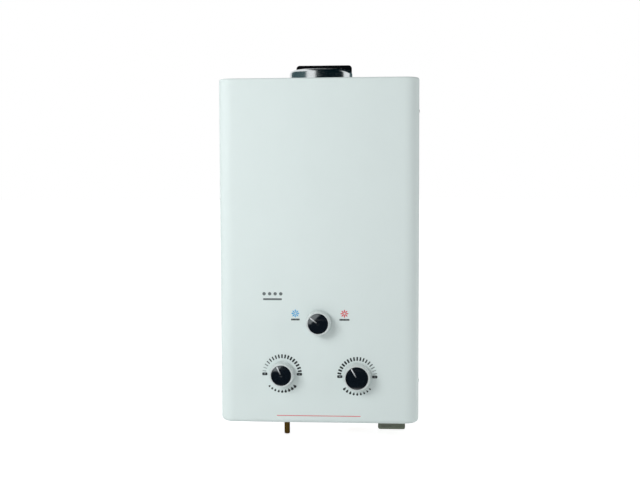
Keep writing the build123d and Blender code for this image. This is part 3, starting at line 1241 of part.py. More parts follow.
# Bottom plate: floor inside the cover's bottom flange, with holes for what passes through and air slots
with BuildPart() as bottom_plate:
    extrude(casing_plan(COVER_SHEET, floor_inset, BACK_SHEET), amount=BOTTOM_SHEET)
    with BuildSketch(upright(BACK_SHEET)):
        with Locations((0, bottom + COVER_SHEET + BOTTOM_FLANGE / 2)):
            Rectangle(CASING_WIDTH - 2 * floor_inset, BOTTOM_FLANGE)
    extrude(amount=BOTTOM_SHEET)
    with BuildSketch(level(COVER_SHEET)):
        with Locations((GAS_INLET_X, -GAS_INLET_DEPTH)):
            Circle(GAS_STEM_DIAMETER / 2 + HOLE_GAP)
        with Locations((water_port_x, -WATER_INLET_DEPTH), (hot_pipe_x, -HOT_OUTLET_DEPTH)):
            Circle(PIPE_SPIGOT_DIAMETER / 2 + HOLE_GAP)
        with Locations((water_port_x, -DRAIN_DEPTH)):
            Circle(DRAIN_HEAD_DIAMETER / 2 + OVERRUN)
        with Locations((battery_x, -BATTERY_DEPTH)):
            RectangleRounded(box_width + 2 * HOLE_GAP, box_depth + 2 * HOLE_GAP, BATTERY_CORNER + HOLE_GAP)
        with Locations((AIR_SLOT_X, -AIR_SLOT_DEPTH)):
            with GridLocations(AIR_SLOT_COLUMN_PITCH, AIR_SLOT_PITCH, AIR_SLOT_COLUMNS, AIR_SLOT_ROWS):
                SlotOverall(AIR_SLOT_LENGTH, AIR_SLOT_WIDTH)
    extrude(amount=BOTTOM_SHEET, mode=Mode.SUBTRACT)
pieces["bottom_plate"] = bottom_plate

knob_back = CASING_DEPTH + KNOB_GAP
knob_front = CASING_DEPTH + KNOB_HEIGHT
face_seat = knob_front - FACE_THICKNESS + FACE_PROUD
bore_end = knob_back + KNOB_BOSS_SETBACK + KNOB_BORE_DEPTH


def knob_body(x, height, face_diameter):
    """Tapered hollow knob with a recess for its face and a bored boss behind."""
    rim_radius = face_diameter / 2 + KNOB_RIM
    recess_radius = face_diameter / 2 + RUNNING_GAP
    base_radius = rim_radius + KNOB_FLARE
    bore_radius = SPINDLE_DIAMETER / 2 + RUNNING_GAP
    boss_radius = KNOB_BOSS_DIAMETER / 2
    web_back = face_seat - KNOB_WEB
    boss_back = knob_back + KNOB_BOSS_SETBACK
    middle = (x, 0, bottom + height)
    with BuildPart() as body:
        with BuildSketch(Plane(middle)):
            with BuildLine():
                Polyline(
                    (0, -bore_end),
                    (bore_radius, -bore_end),
                    (bore_radius, -boss_back),
                    (boss_radius, -boss_back),
                    (boss_radius, -web_back),
                    (rim_radius - KNOB_WALL, -web_back),
                    (base_radius - KNOB_WALL, -knob_back),
                    (base_radius, -knob_back),
                    (rim_radius, -knob_front),
                    (recess_radius, -knob_front),
                    (recess_radius, -face_seat),
                    (0, -face_seat),
                    close=True,
                )
            make_face()
        revolve(axis=Axis(middle, (0, 1, 0)))
        fillet(body.edges().group_by(Axis.Y)[0].sort_by(SortBy.RADIUS)[-1], KNOB_RIM_ROUND)
    return body


def pointer_outline(plane, face_diameter, angle, gap):
    """Bar from near the middle of a knob's face towards its rim, turned left from twelve o'clock."""
    length = face_diameter / 2 - POINTER_START - POINTER_MARGIN
    with BuildSketch(plane) as bar:
        with PolarLocations(POINTER_START + length / 2, 1, start_angle=90 + angle):
            Rectangle(length + 2 * gap, POINTER_WIDTH + 2 * gap)
    return bar.sketch


def face_section(x, height, face_diameter, proud):
    """Half section of a face disc that rises in a shallow cone to its middle."""
    rim = face_seat + FACE_THICKNESS + proud
    with BuildSketch(Plane((x, 0, bottom + height))) as section:
        with BuildLine():
            Polyline(
                (0, -face_seat),
                (face_diameter / 2, -face_seat),
                (face_diameter / 2, -rim + FACE_CHAMFER),
                (face_diameter / 2 - FACE_CHAMFER, -rim),
                (0, -rim - FACE_CROWN),
                close=True,
            )
        make_face()
    return section.sketch


def knob_face(x, height, face_diameter, angle):
    """Face disc in the knob's recess, grooved for the pointer."""
    plane = Plane((x, -face_seat, bottom + height), x_dir=(1, 0, 0), z_dir=(0, -1, 0))
    with BuildPart() as face:
        revolve(face_section(x, height, face_diameter, 0), axis=Axis((x, 0, bottom + height), (0, 1, 0)))
        groove_floor = plane.offset(FACE_THICKNESS - POINTER_DEPTH)
        groove = pointer_outline(groove_floor, face_diameter, angle, RUNNING_GAP)
        extrude(groove, amount=POINTER_DEPTH + FACE_CROWN + OVERRUN, mode=Mode.SUBTRACT)
    return face


def knob_pointer(x, height, face_diameter, angle):
    """White bar in the face's groove."""
    plane = Plane((x, -face_seat, bottom + height), x_dir=(1, 0, 0), z_dir=(0, -1, 0))
    with BuildPart() as pointer:
        section = face_section(x, height, face_diameter, POINTER_PROUD)
        revolve(section, axis=Axis((x, 0, bottom + height), (0, 1, 0)))
        foot = pointer_outline(plane.offset(FACE_THICKNESS - POINTER_DEPTH), face_diameter, angle, 0)
        extrude(foot, amount=POINTER_DEPTH + FACE_CROWN + OVERRUN, mode=Mode.INTERSECT)
    return pointer


def spindle(x, height, back, angle):
    """Control spindle with a flat at the knob's end."""
    with BuildPart() as shaft:
        with BuildSketch(upright(back)):
            with Locations((x, bottom + height)):
                Circle(SPINDLE_DIAMETER / 2)
        extrude(amount=bore_end - back)
        with BuildSketch(upright(bore_end - SPINDLE_FLAT_LENGTH)):
            with Locations((x, bottom + height)):
                with PolarLocations(SPINDLE_DIAMETER - SPINDLE_FLAT_DEPTH, 1, start_angle=90 + angle):
                    Rectangle(SPINDLE_DIAMETER, 2 * SPINDLE_DIAMETER)
        extrude(amount=SPINDLE_FLAT_LENGTH + OVERRUN, mode=Mode.SUBTRACT)
    return shaft


valve_spindle_back = VALVE_FRONT + VALVE_BOSS_LENGTH - VALVE_BORE_DEPTH + MOVING_GAP
season_spindle_back = season_front - SEASON_BORE_DEPTH + MOVING_GAP
controls = {
    "season": (SEASON_X, SEASON_HEIGHT, FACE_DIAMETER, SEASON_POINTER_ANGLE, season_spindle_back),
    "gas": (GAS_X, GAS_HEIGHT, FACE_DIAMETER, GAS_POINTER_ANGLE, valve_spindle_back),
    "water": (WATER_X, WATER_HEIGHT, WATER_FACE_DIAMETER, WATER_POINTER_ANGLE, valve_spindle_back),
}
for control, (x, height, face_diameter, angle, back) in controls.items():
    pieces[control + "_knob_body"] = knob_body(x, height, face_diameter)
    pieces[control + "_knob_face"] = knob_face(x, height, face_diameter, angle)
    pieces[control + "_knob_pointer"] = knob_pointer(x, height, face_diameter, angle)
    pieces[control + "_spindle"] = spindle(x, height, back, angle)

os.makedirs("parts", exist_ok=True)
for name, piece in pieces.items():
    piece.part.label = name
    export_step(piece.part, f"parts/{name}.step")
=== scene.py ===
"""Looks of a wall-hung instant gas water heater.

Finishes for its solids, marks printed on its cover, a window behind its sight holes and a studio.
"""

import json
import math

import bmesh
import bpy
from bpy.props import FloatProperty, FloatVectorProperty, IntProperty, PointerProperty
from mathutils import Matrix, Quaternion, Vector


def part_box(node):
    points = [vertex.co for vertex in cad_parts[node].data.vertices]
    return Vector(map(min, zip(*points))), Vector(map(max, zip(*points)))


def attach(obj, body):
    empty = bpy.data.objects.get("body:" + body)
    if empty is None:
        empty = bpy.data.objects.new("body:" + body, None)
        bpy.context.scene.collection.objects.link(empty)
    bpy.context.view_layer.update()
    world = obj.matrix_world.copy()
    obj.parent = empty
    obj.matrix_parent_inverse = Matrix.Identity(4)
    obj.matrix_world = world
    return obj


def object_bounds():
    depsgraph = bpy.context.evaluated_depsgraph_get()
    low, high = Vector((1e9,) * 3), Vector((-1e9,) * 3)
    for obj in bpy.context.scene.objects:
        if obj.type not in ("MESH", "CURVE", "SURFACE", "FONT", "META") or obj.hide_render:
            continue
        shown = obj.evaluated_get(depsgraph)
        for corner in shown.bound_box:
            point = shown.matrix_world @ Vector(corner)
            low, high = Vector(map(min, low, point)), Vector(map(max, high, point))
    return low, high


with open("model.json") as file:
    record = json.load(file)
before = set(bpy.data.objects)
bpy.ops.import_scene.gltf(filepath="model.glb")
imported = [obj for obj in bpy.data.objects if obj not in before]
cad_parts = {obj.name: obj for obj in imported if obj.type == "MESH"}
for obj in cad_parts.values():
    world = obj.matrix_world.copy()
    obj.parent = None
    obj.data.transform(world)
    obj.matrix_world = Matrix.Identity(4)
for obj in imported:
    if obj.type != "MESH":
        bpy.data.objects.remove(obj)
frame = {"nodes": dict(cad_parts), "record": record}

bl_info = {
    "name": "Instant gas water heater",
    "version": (1, 0, 0),
    "blender": (4, 5, 0),
    "location": "View3D > Sidebar > Heater",
    "description": "Finishes, printed dials and studio for a wall-hung water heater",
    "category": "Object",
}

CAD_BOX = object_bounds()
COVER_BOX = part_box("front_cover")
PANEL_Y = COVER_BOX[0][1]
CASING_FOOT = COVER_BOX[0][2]
JOINTS = {joint["name"]: joint for joint in frame["record"]["behaviour"]["joints"]}
KNOBS = ("season", "gas", "water")
MM = 0.001

# A knob's face has fine turned rings. Its low cone shines like a low dome.
RING_PITCH = 0.45 * MM
RING_HEIGHT = 0.0004 * MM
FACE_RADIUS = 13.8 * MM
CONE_SLOPE = 0.087
RIM_SLOPE = 0.105

# A pointer's inlay is grey at its inner end and white at its outer end.
POINTER_INNER = 2.0 * MM
POINTER_OUTER = 13.0 * MM

COAT_ROUGHNESS = 0.08
# Edge tint of the gas tail's brass. Its far darker base colour paints the tail's shade.
GAS_TAIL_BRASS_TINT = (0.35, 0.22, 0.08, 1.0)

WHITE = (1.0, 1.0, 1.0, 1.0)
FLOOR_GREY = (0.90, 0.90, 0.90, 1.0)
FLOOR_ROUGHNESS = 0.9
FLOOR_GLOW = 0.76
DARK_CARD = (0.003, 0.009, 0.012)
GREY_CARD = (0.065, 0.11, 0.12)
BRIGHT_CARD = (0.90, 0.98, 1.0)
CARD_MIDDLE = (0.0, -0.064, 0.25)
SENSOR_WIDTH = 36.0
CLIP_NEAR = 0.01
CLIP_FAR = 100.0


def knob_centre(knob):
    """The knob's axis on the cover, as x and z in metres."""
    place = JOINTS[knob + "_knob_turn"]["pos_m"]
    return place[0], place[2]


def colour_property(name, description, default):
    """A colour that a user may change."""
    return FloatVectorProperty(
        name=name, description=description, default=default, size=3, min=0.0, max=1.0, subtype="COLOR"
    )


def length_property(name, description, default):
    """A length in metres that a user may change."""
    return FloatProperty(name=name, description=description, default=default, min=0.0, unit="LENGTH")


def across_property(name, default):
    """A place across the cover, in metres from its middle."""
    return FloatProperty(name=name, description="Across the cover", default=default, unit="LENGTH")


def angle_property(name, description, degrees):
    """An angle that a user may change."""
    return FloatProperty(
        name=name, description=description, default=math.radians(degrees), subtype="ANGLE"
    )


def place_property(name, description, default):
    """A point in the room that a user may change."""
    return FloatVectorProperty(
        name=name, description=description, default=default, size=3, subtype="TRANSLATION"
    )


def power_property(name, description, default):
    """A lamp's power that a user may change."""
    return FloatProperty(name=name, description=description, default=default, min=0.0, unit="POWER")


class HeaterFinishes(bpy.types.PropertyGroup):
    """Colours of the heater's finishes."""

    enamel: colour_property("Enamel", "Cool white of the cover", (0.69, 0.775, 0.765))
    zinc: colour_property("Zinc sheet", "Galvanised sheet of the frame", (0.50, 0.52, 0.53))
    black_paint: colour_property("Black paint", "Paint of the bracket", (0.002, 0.0025, 0.003))
    collar: colour_property("Flue collar", "Polished metal of the collar", (0.74, 0.78, 0.79))
    plate: colour_property("Bright plate", "Plated screws, rivets and spindles", (0.66, 0.67, 0.68))
    copper: colour_property("Copper", "Bare copper of the exchanger", (0.72, 0.30, 0.16))
    burner: colour_property("Burner steel", "Heat-dulled steel of the burner", (0.27, 0.26, 0.25))
    cast_alloy: colour_property("Cast alloy", "Die-cast valve bodies", (0.49, 0.50, 0.51))
    brass: colour_property("Brass", "Turned brass of the connections", (0.42, 0.27, 0.085))
    # Painted shade: a far darker copy of the brass, for the gas tail under the cover.
    shade_darkened_brass: colour_property("Shade-darkened brass", "Gas tail under the cover", (0.064, 0.038, 0.008))
    ceramic: colour_property("Ceramic", "Glazed insulators", (0.80, 0.77, 0.70))
    rubber: colour_property("Rubber", "Diaphragm", (0.016, 0.016, 0.017))
    moulding: colour_property("Dark moulding", "Igniter, switch and solenoid", (0.022, 0.023, 0.025))
    battery: colour_property("Battery box", "Olive-grey moulding", (0.132, 0.155, 0.114))
    sleeve: colour_property("Cell sleeve", "Plain sleeve of the cells", (0.035, 0.045, 0.075))
    knob_body: colour_property("Knob body", "Satin silver moulding", (0.66, 0.715, 0.71))
    knob_face: colour_property("Knob face", "Polished black disc", (0.0035, 0.0055, 0.0085))
    pointer: colour_property("Pointer", "White inlay, at its outer end", (0.80, 0.84, 0.86))
    mica: colour_property("Mica", "Cloudy sheet behind the sight holes", (0.15, 0.18, 0.18))


class HeaterWindow(bpy.types.PropertyGroup):
    """Sizes of the mica sheet behind the sight holes."""

    x: across_property("Window place", -64.2 * MM)
    height: length_property("Window height", "Above the casing's foot", 178.7 * MM)
    length: length_property("Window length", "Along the row of holes", 36.0 * MM)
    width: length_property("Window width", "Across the row of holes", 17.0 * MM)
    corner: length_property("Window corner", "Corner radius", 2.0 * MM)
    inset: length_property("Window inset", "From the cover's face to its inner side", 1.0 * MM)
    sheet: length_property("Window sheet", "Thickness of the mica", 0.4 * MM)


class HeaterPrint(bpy.types.PropertyGroup):
    """Sizes and inks of the marks printed on the cover."""

    film: length_property("Ink film", "Height of the ink above the enamel", 0.12 * MM)
    tick_count: IntProperty(name="Ticks", description="Ticks of each scale", default=17, min=3)
    tick_inner: length_property("Tick inner radius", "Where a tick starts", 22.6 * MM)
    tick_outer: length_property("Tick outer radius", "Where a tick ends", 28.0 * MM)
    tick_thin: length_property("Thin tick", "Width of the finest tick", 1.3 * MM)
    tick_thick: length_property("Thick tick", "Width of the boldest tick", 2.5 * MM)
    end_inner: length_property("End mark inner radius", "Where an end mark starts", 20.7 * MM)
    end_outer: length_property("End mark outer radius", "Where an end mark ends", 28.1 * MM)
    end_width: length_property("End mark width", "Height of an end mark", 3.9 * MM)
    icon_radius: length_property("Icon radius", "Arc on which the small icons sit", 24.4 * MM)
    icon_count: IntProperty(name="Icons", description="Small icons under each dial", default=9, min=2)
    icon_small: length_property("Small icon", "Height of the smallest icon", 3.6 * MM)
    icon_large: length_property("Large icon", "Height of the largest icon", 5.6 * MM)
    icon_sweep: angle_property("Icon sweep", "Angle that the icons span", 92.0)
    symbol_radius: length_property("Symbol radius", "Reach of a season symbol's rays", 5.6 * MM)
    season_drop: length_property("Block row drop", "From a symbol down to its block row", 8.5 * MM)
    snow_x: across_property("Snow place", -32.1 * MM)
    sun_x: across_property("Sun place", 36.6 * MM)
    symbol_height: length_property("Symbol height", "Above the casing's foot", 155.1 * MM)
    stripe_length: length_property("Stripe length", "Thin line near the cover's foot", 118.0 * MM)
    stripe_width: length_property("Stripe width", "Thickness of the thin line", 0.9 * MM)
    stripe_height: length_property("Stripe height", "Above the casing's foot", 10.6 * MM)
    dark_ink: colour_property("Dark ink", "Dials and icons", (0.012, 0.018, 0.020))
    pale_ink: colour_property("Pale ink", "Finest ticks", (0.36, 0.42, 0.42))
    blue_ink: colour_property("Blue ink", "Snow symbol", (0.05, 0.46, 0.87))
    red_ink: colour_property("Red ink", "Sun symbol and thin line", (0.70, 0.05, 0.07))


class HeaterStudio(bpy.types.PropertyGroup):
    """Camera, light and floor."""

    eye: place_property("Eye", "Camera place", (0.1142, -1.5817, 0.0970))
    yaw: angle_property("Yaw", "Turn to the right", -4.39)
    pitch: angle_property("Pitch", "Tilt upwards", -3.64)
    roll: angle_property("Roll", "Turn about the view", -0.19)
    lens: FloatProperty(name="Lens", description="Focal length in mm", default=59.06, min=1.0)
    ambient: FloatProperty(name="Ambient", description="Room light", default=0.38, min=0.0)
    lamp_size: length_property("Lamp size", "Side of the soft lamps", 0.75)
    key_power: power_property("Key light", "Power of the soft key", 13.0)
    key_place: place_property("Key place", "Soft key, upper left", (-0.90, -1.09, 0.50))
    fill_power: power_property("Fill light", "Power of the soft fill", 6.5)
    fill_place: place_property("Fill place", "Soft fill, right side", (1.60, -0.32, 0.20))
    floor_gap: length_property("Floor gap", "Floor below the lowest point", 0.5 * MM)
    floor_size: length_property("Floor size", "Side of the floor", 40.0)


FINISH_GROUPS = {}


def start_group(name, inputs, outputs):
    """An empty shader node group: its tree, what it is given and what it puts out."""
    tree = bpy.data.node_groups.new(name, "ShaderNodeTree")
    kinds = {"value": "NodeSocketFloat", "colour": "NodeSocketColor", "vector": "NodeSocketVector"}
    for label, kind, default in inputs:
        socket = tree.interface.new_socket(name=label, in_out="INPUT", socket_type=kinds[kind])
        socket.default_value = default
    for label, kind in outputs:
        tree.interface.new_socket(name=label, in_out="OUTPUT", socket_type=kinds[kind])
    given = tree.nodes.new("NodeGroupInput").outputs
    return tree, given, tree.nodes.new("NodeGroupOutput").inputs


def feed(tree, socket, value):
    """Links another socket to a socket, or sets a number or numbers on it."""
    if isinstance(value, bpy.types.NodeSocket):
        tree.links.new(value, socket)
    else:
        socket.default_value = value


def noise_of(tree, vector, scale, detail=3.0, rough=0.55, output="Fac"):
    """Noise on a vector; scale may be a socket or a number."""
    node = tree.nodes.new("ShaderNodeTexNoise")
    node.inputs["Detail"].default_value = detail
    node.inputs["Roughness"].default_value = rough
    feed(tree, node.inputs["Vector"], vector)
    feed(tree, node.inputs["Scale"], scale)
    return node.outputs[output]


def range_of(tree, value, low_in, high_in, low=0.0, high=1.0):
    """A clamped map range; its ends may be sockets or numbers."""
    node = tree.nodes.new("ShaderNodeMapRange")
    feed(tree, node.inputs["Value"], value)
    for label, end in (("From Min", low_in), ("From Max", high_in)):
        feed(tree, node.inputs[label], end)
    for label, end in (("To Min", low), ("To Max", high)):
        feed(tree, node.inputs[label], end)
    return node.outputs["Result"]


def mix_colours(tree, mask, first, second):
    """A colour between two colour sockets."""
    node = tree.nodes.new("ShaderNodeMix")
    node.data_type = "RGBA"
    tree.links.new(mask, node.inputs["Factor"])
    tree.links.new(first, node.inputs["A"])
    tree.links.new(second, node.inputs["B"])
    return [s for s in node.outputs if s.type == "RGBA"][0]


def math_of(tree, operation, first, second):
    """A math node on sockets or numbers."""
    node = tree.nodes.new("ShaderNodeMath")
    node.operation = operation
    for socket, value in zip(node.inputs, (first, second)):
        feed(tree, socket, value)
    return node.outputs["Value"]


def vector_of(tree, operation, *values, output="Vector"):
    """A vector math node on sockets or triples of numbers."""
    node = tree.nodes.new("ShaderNodeVectorMath")
    node.operation = operation
    for socket, value in zip(node.inputs, values):
        feed(tree, socket, value)
    return node.outputs[output]


def add_by_share(tree, first, second, share):
    """Two values added, the first by its share and the second by the rest."""
    part = math_of(tree, "MULTIPLY", first, share)
    return math_of(tree, "ADD", part, math_of(tree, "MULTIPLY", second, 1.0 - share))


def object_place(tree):
    """The point on the piece, in metres."""
    return tree.nodes.new("ShaderNodeTexCoord").outputs["Object"]


def start_skin(name, light, dark, measure):
    """A group whose colour runs from light to dark and whose roughness runs from smooth to rough."""
    inputs = [
        ("Light", "colour", (light, light, light, 1.0)),
        ("Dark", "colour", (dark, dark, dark, 1.0)),
        measure,
        ("Smooth", "value", 0.3),
        ("Rough", "value", 0.4),
    ]
    outputs = [("Colour", "colour"), ("Roughness", "value"), ("Height", "value")]
    return start_group(name, inputs, outputs)


def end_skin(tree, given, puts, mask, pattern, ends, height):
    """Links a skin's colour from its mask, its roughness from its pattern, and its height."""
    tree.links.new(mix_colours(tree, mask, given["Light"], given["Dark"]), puts["Colour"])
    roughness = range_of(tree, pattern, *ends, given["Smooth"], given["Rough"])
    tree.links.new(roughness, puts["Roughness"])
    tree.links.new(height, puts["Height"])
    return tree


def build_grain_group():
    """Fine grain: mottled colour, roughness and a small height."""
    tree, given, puts = start_skin("Fine grain", 0.8, 0.7, ("Scale", "value", 600.0))
    ends = (0.32, 0.68)
    fine_share = 0.4
    coarser = 40.0
    place = object_place(tree)
    fine = noise_of(tree, place, given["Scale"])
    broad = noise_of(tree, place, math_of(tree, "DIVIDE", given["Scale"], coarser))
    pattern = add_by_share(tree, fine, broad, fine_share)
    return end_skin(tree, given, puts, range_of(tree, pattern, *ends), pattern, ends, fine)


def build_lines_group():
    """Drawn or turned lines, stretched by a vector."""
    tree, given, puts = start_skin("Drawn lines", 0.8, 0.6, ("Scale", "vector", (30.0, 30.0, 3000.0)))
    ends = (0.3, 0.7)
    stretched = vector_of(tree, "MULTIPLY", object_place(tree), given["Scale"])
    lines = noise_of(tree, stretched, 1.0, detail=4.0)
    return end_skin(tree, given, puts, range_of(tree, lines, *ends), lines, ends, lines)


def build_spangle_group():
    """Zinc spangle: crystal patches of slightly different grey."""
    tree, given, puts = start_skin("Zinc spangle", 0.6, 0.4, ("Scale", "value", 160.0))
    warp_scale = 90.0
    warp_reach = (0.006, 0.006, 0.006)
    speck_scale = 1500.0
    cell_share = 0.7
    place = object_place(tree)
    warp = noise_of(tree, place, warp_scale, detail=2.0, output="Color")
    cells = tree.nodes.new("ShaderNodeTexVoronoi")
    feed(tree, cells.inputs["Vector"], vector_of(tree, "MULTIPLY_ADD", warp, warp_reach, place))
    feed(tree, cells.inputs["Scale"], given["Scale"])
    grey = tree.nodes.new("ShaderNodeSeparateColor")
    feed(tree, grey.inputs["Color"], cells.outputs["Color"])
    specks = noise_of(tree, place, speck_scale, detail=2.0)
    pattern = add_by_share(tree, grey.outputs["Red"], specks, cell_share)
    return end_skin(tree, given, puts, pattern, pattern, (0.1, 0.9), pattern)


def build_dust_group():
    """A thin film of dust on faces that look up."""
    inputs = [
        ("Colour", "colour", (0.5, 0.5, 0.5, 1.0)),
        ("Dust", "colour", (0.45, 0.43, 0.40, 1.0)),
        ("Amount", "value", 0.2),
    ]
    tree, given, puts = start_group("Dust film", inputs, [("Colour", "colour")])
    steepest_rise = 0.5
    facing = tree.nodes.new("ShaderNodeSeparateXYZ")
    feed(tree, facing.inputs["Vector"], tree.nodes.new("ShaderNodeNewGeometry").outputs["Normal"])
    up = range_of(tree, facing.outputs["Z"], steepest_rise, 1.0)
    cloud = noise_of(tree, object_place(tree), 45.0, detail=5.0)
    patch = range_of(tree, cloud, 0.35, 0.7, low=0.2)
    mask = math_of(tree, "MULTIPLY", math_of(tree, "MULTIPLY", up, patch), given["Amount"])
    tree.links.new(mix_colours(tree, mask, given["Colour"], given["Dust"]), puts["Colour"])
    return tree


def build_tarnish_group():
    """Patches of tarnish or heat tint over bare metal."""
    inputs = [
        ("Colour", "colour", (0.7, 0.4, 0.2, 1.0)),
        ("Tarnish", "colour", (0.2, 0.1, 0.06, 1.0)),
        ("Scale", "value", 40.0),
        ("Amount", "value", 0.5),
    ]
    tree, given, puts = start_group("Tarnish", inputs, [("Colour", "colour")])
    cloud = noise_of(tree, object_place(tree), given["Scale"], detail=6.0, rough=0.62)
    mask = math_of(tree, "MULTIPLY", range_of(tree, cloud, 0.42, 0.72), given["Amount"])
    tree.links.new(mix_colours(tree, mask, given["Colour"], given["Tarnish"]), puts["Colour"])
    return tree


def build_groups():
    """Every shared effect, built once."""
    if not FINISH_GROUPS:
        FINISH_GROUPS["grain"] = build_grain_group()
        FINISH_GROUPS["lines"] = build_lines_group()
        FINISH_GROUPS["spangle"] = build_spangle_group()
        FINISH_GROUPS["dust"] = build_dust_group()
        FINISH_GROUPS["tarnish"] = build_tarnish_group()


def start_material(name, metallic=0.0, specular=0.5, coat=0.0):
    """A material with its Principled shader, and constants set on the shader."""
    build_groups()
    material = bpy.data.materials.new(name)
    material.use_nodes = True
    shader = material.node_tree.nodes["Principled BSDF"]
    shader.inputs["Metallic"].default_value = metallic
    shader.inputs["Specular IOR Level"].default_value = specular
    shader.inputs["Coat Weight"].default_value = coat
    shader.inputs["Coat Roughness"].default_value = COAT_ROUGHNESS
    return material, material.node_tree, shader


def place_group(tree, kind, **values):
    """A shared effect in a material, with that material's own values."""
    node = tree.nodes.new("ShaderNodeGroup")
    node.node_tree = FINISH_GROUPS[kind]
    for label, value in values.items():
        socket = node.inputs[label]
        if socket.type == "RGBA" and not isinstance(value, bpy.types.NodeSocket):
            value = (*value, 1.0)
        feed(tree, socket, value)
    return node


def link_finish(tree, shader, colour, roughness, height, strength, distance):
    """Links a finish to its shader, with fine relief from a height."""
    tree.links.new(colour, shader.inputs["Base Color"])
    tree.links.new(roughness, shader.inputs["Roughness"])
    bump = tree.nodes.new("ShaderNodeBump")
    bump.inputs["Strength"].default_value = strength
    bump.inputs["Distance"].default_value = distance
    tree.links.new(height, bump.inputs["Height"])
    tree.links.new(bump.outputs["Normal"], shader.inputs["Normal"])


def shade(colour, factor):
    """A colour made lighter or darker."""
    return tuple(min(1.0, part * factor) for part in colour)


def surface_finish(
    name, kind, colour, spread, scale, rough, relief, metallic=0.0, specular=0.5, coat=0.0, film=None
):
    """A finish of one main effect, with an optional dust or tarnish film over it."""
    material, tree, shader = start_material(name, metallic, specular, coat)
    skin = {"Scale": scale, "Smooth": rough[0], "Rough": rough[1]}
    main = place_group(tree, kind, Light=colour, Dark=shade(colour, spread), **skin)
    tint = main.outputs["Colour"]
    if film:
        film_kind, film_values = film
        tint = place_group(tree, film_kind, Colour=tint, **film_values).outputs["Colour"]
    link_finish(tree, shader, tint, main.outputs["Roughness"], main.outputs["Height"], *relief)
    return material


def knob_reach(tree, knob):
    """The distance from the knob's own axis, in metres."""
    x, z = knob_centre(knob)
    offset = vector_of(tree, "SUBTRACT", object_place(tree), (x, PANEL_Y, z))
    flat = vector_of(tree, "MULTIPLY", offset, (1.0, 0.0, 1.0))
    return vector_of(tree, "LENGTH", flat, output="Value")


def knob_face_finish(knob, colour):
    """A polished black disc with fine turned rings round the knob's own axis."""
    material, tree, shader = start_material(knob + "_turned_black")
    grain = {"Scale": 900.0, "Smooth": 0.05, "Rough": 0.09}
    main = place_group(tree, "grain", Light=colour, Dark=shade(colour, 1.5), **grain)
    reach = knob_reach(tree, knob)
    rings = math_of(tree, "SINE", math_of(tree, "MULTIPLY", reach, 2 * math.pi / RING_PITCH), 0.0)
    rings = math_of(tree, "MULTIPLY", rings, RING_HEIGHT)
    square = math_of(tree, "MULTIPLY", reach, reach)
    dome = math_of(tree, "MULTIPLY", square, -0.5 * RIM_SLOPE / FACE_RADIUS)
    dome = math_of(tree, "ADD", dome, math_of(tree, "MULTIPLY", reach, CONE_SLOPE))
    height = math_of(tree, "ADD", dome, rings)
    skin = main.outputs["Colour"], main.outputs["Roughness"]
    link_finish(tree, shader, *skin, height, strength=1.0, distance=1.0)
    return material


def pointer_finish(knob, colour):
    """A white inlay that thins to grey towards the knob's own axis."""
    material, tree, shader = start_material(knob + "_thinning_inlay")
    grain = {"Scale": 2200.0, "Smooth": 0.3, "Rough": 0.42}
    full = place_group(tree, "grain", Light=colour, Dark=shade(colour, 0.93), **grain)
    thin = place_group(tree, "grain", Light=shade(colour, 0.10), Dark=shade(colour, 0.08), **grain)
    mask = range_of(tree, knob_reach(tree, knob), POINTER_INNER, POINTER_OUTER)
    tint = mix_colours(tree, mask, thin.outputs["Colour"], full.outputs["Colour"])
    skin = full.outputs["Roughness"], full.outputs["Height"]
    link_finish(tree, shader, tint, *skin, strength=0.06, distance=0.02 * MM)
    return material


def ink_finish(name, colour):
    """Screen-printed ink with a slight mottle."""
    return surface_finish(
        name, "grain", colour, spread=0.86, scale=2600.0, rough=(0.34, 0.46), relief=(0.15, 0.02 * MM)
    )


def dress(material, *nodes):
    """Gives a finish to CAD nodes through their material slots."""
    for name in nodes:
        piece = frame["nodes"][name]
        if not piece.material_slots:
            piece.data.materials.append(material)
        for slot in piece.material_slots:
            slot.material = material


def add_plates(name, outlines, back_y, front_y, materials, tones):
    """Thin upright plates from closed outlines of (x, z) points, as one piece of the casing."""
    mesh = bpy.data.meshes.new(name)
    shape = bmesh.new()
    for number, outline in enumerate(outlines):
        back = [shape.verts.new((x, back_y, z)) for x, z in outline]
        front = [shape.verts.new((x, front_y, z)) for x, z in outline]
        faces = [shape.faces.new(front), shape.faces.new(list(reversed(back)))]
        for index in range(len(outline)):
            after = (index + 1) % len(outline)
            faces.append(shape.faces.new((back[index], back[after], front[after], front[index])))
        for face in faces:
            face.material_index = tones[number] if tones else 0
    bmesh.ops.recalc_face_normals(shape, faces=shape.faces)
    shape.to_mesh(mesh)
    shape.free()
    piece = bpy.data.objects.new(name, mesh)
    bpy.context.scene.collection.objects.link(piece)
    for material in materials:
        mesh.materials.append(material)
    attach(piece, "casing")
    return piece


def print_on_cover(name, outlines, materials, tones=None, lift=1.0):
    """A thin film of ink on the cover's face, from closed outlines of (x, z) points."""
    front = PANEL_Y - lift * bpy.context.scene.heater_print.film
    return add_plates(name, outlines, PANEL_Y, front, materials, tones)


def turned(points, angle, centre):
    """Outline points turned about the origin and moved to a centre."""
    c, s = math.cos(angle), math.sin(angle)
    return [(centre[0] + x * c - z * s, centre[1] + x * s + z * c) for x, z in points]


def rounded_bar(length, width, corner, middle=(0.0, 0.0), steps=4):
    """Outline of a bar along x with rounded corners."""
    points = []
    for quarter, (sx, sz) in enumerate(((1, 1), (-1, 1), (-1, -1), (1, -1))):
        cx = middle[0] + sx * (length / 2 - corner)
        cz = middle[1] + sz * (width / 2 - corner)
        for step in range(steps + 1):
            angle = math.radians(90.0) * (quarter + step / steps)
            points.append((cx + corner * math.cos(angle), cz + corner * math.sin(angle)))
    return points


def tapered_ray(start, end, root, tip):
    """Outline of a ray along x that changes width from root to tip and is blunt at its end."""
    belly = start + (end - start) * 0.55
    blunt = tip * 0.3
    upper = [(end, blunt), (belly, tip / 2), (start, root / 2)]
    return [(x, -z) for x, z in reversed(upper)] + upper


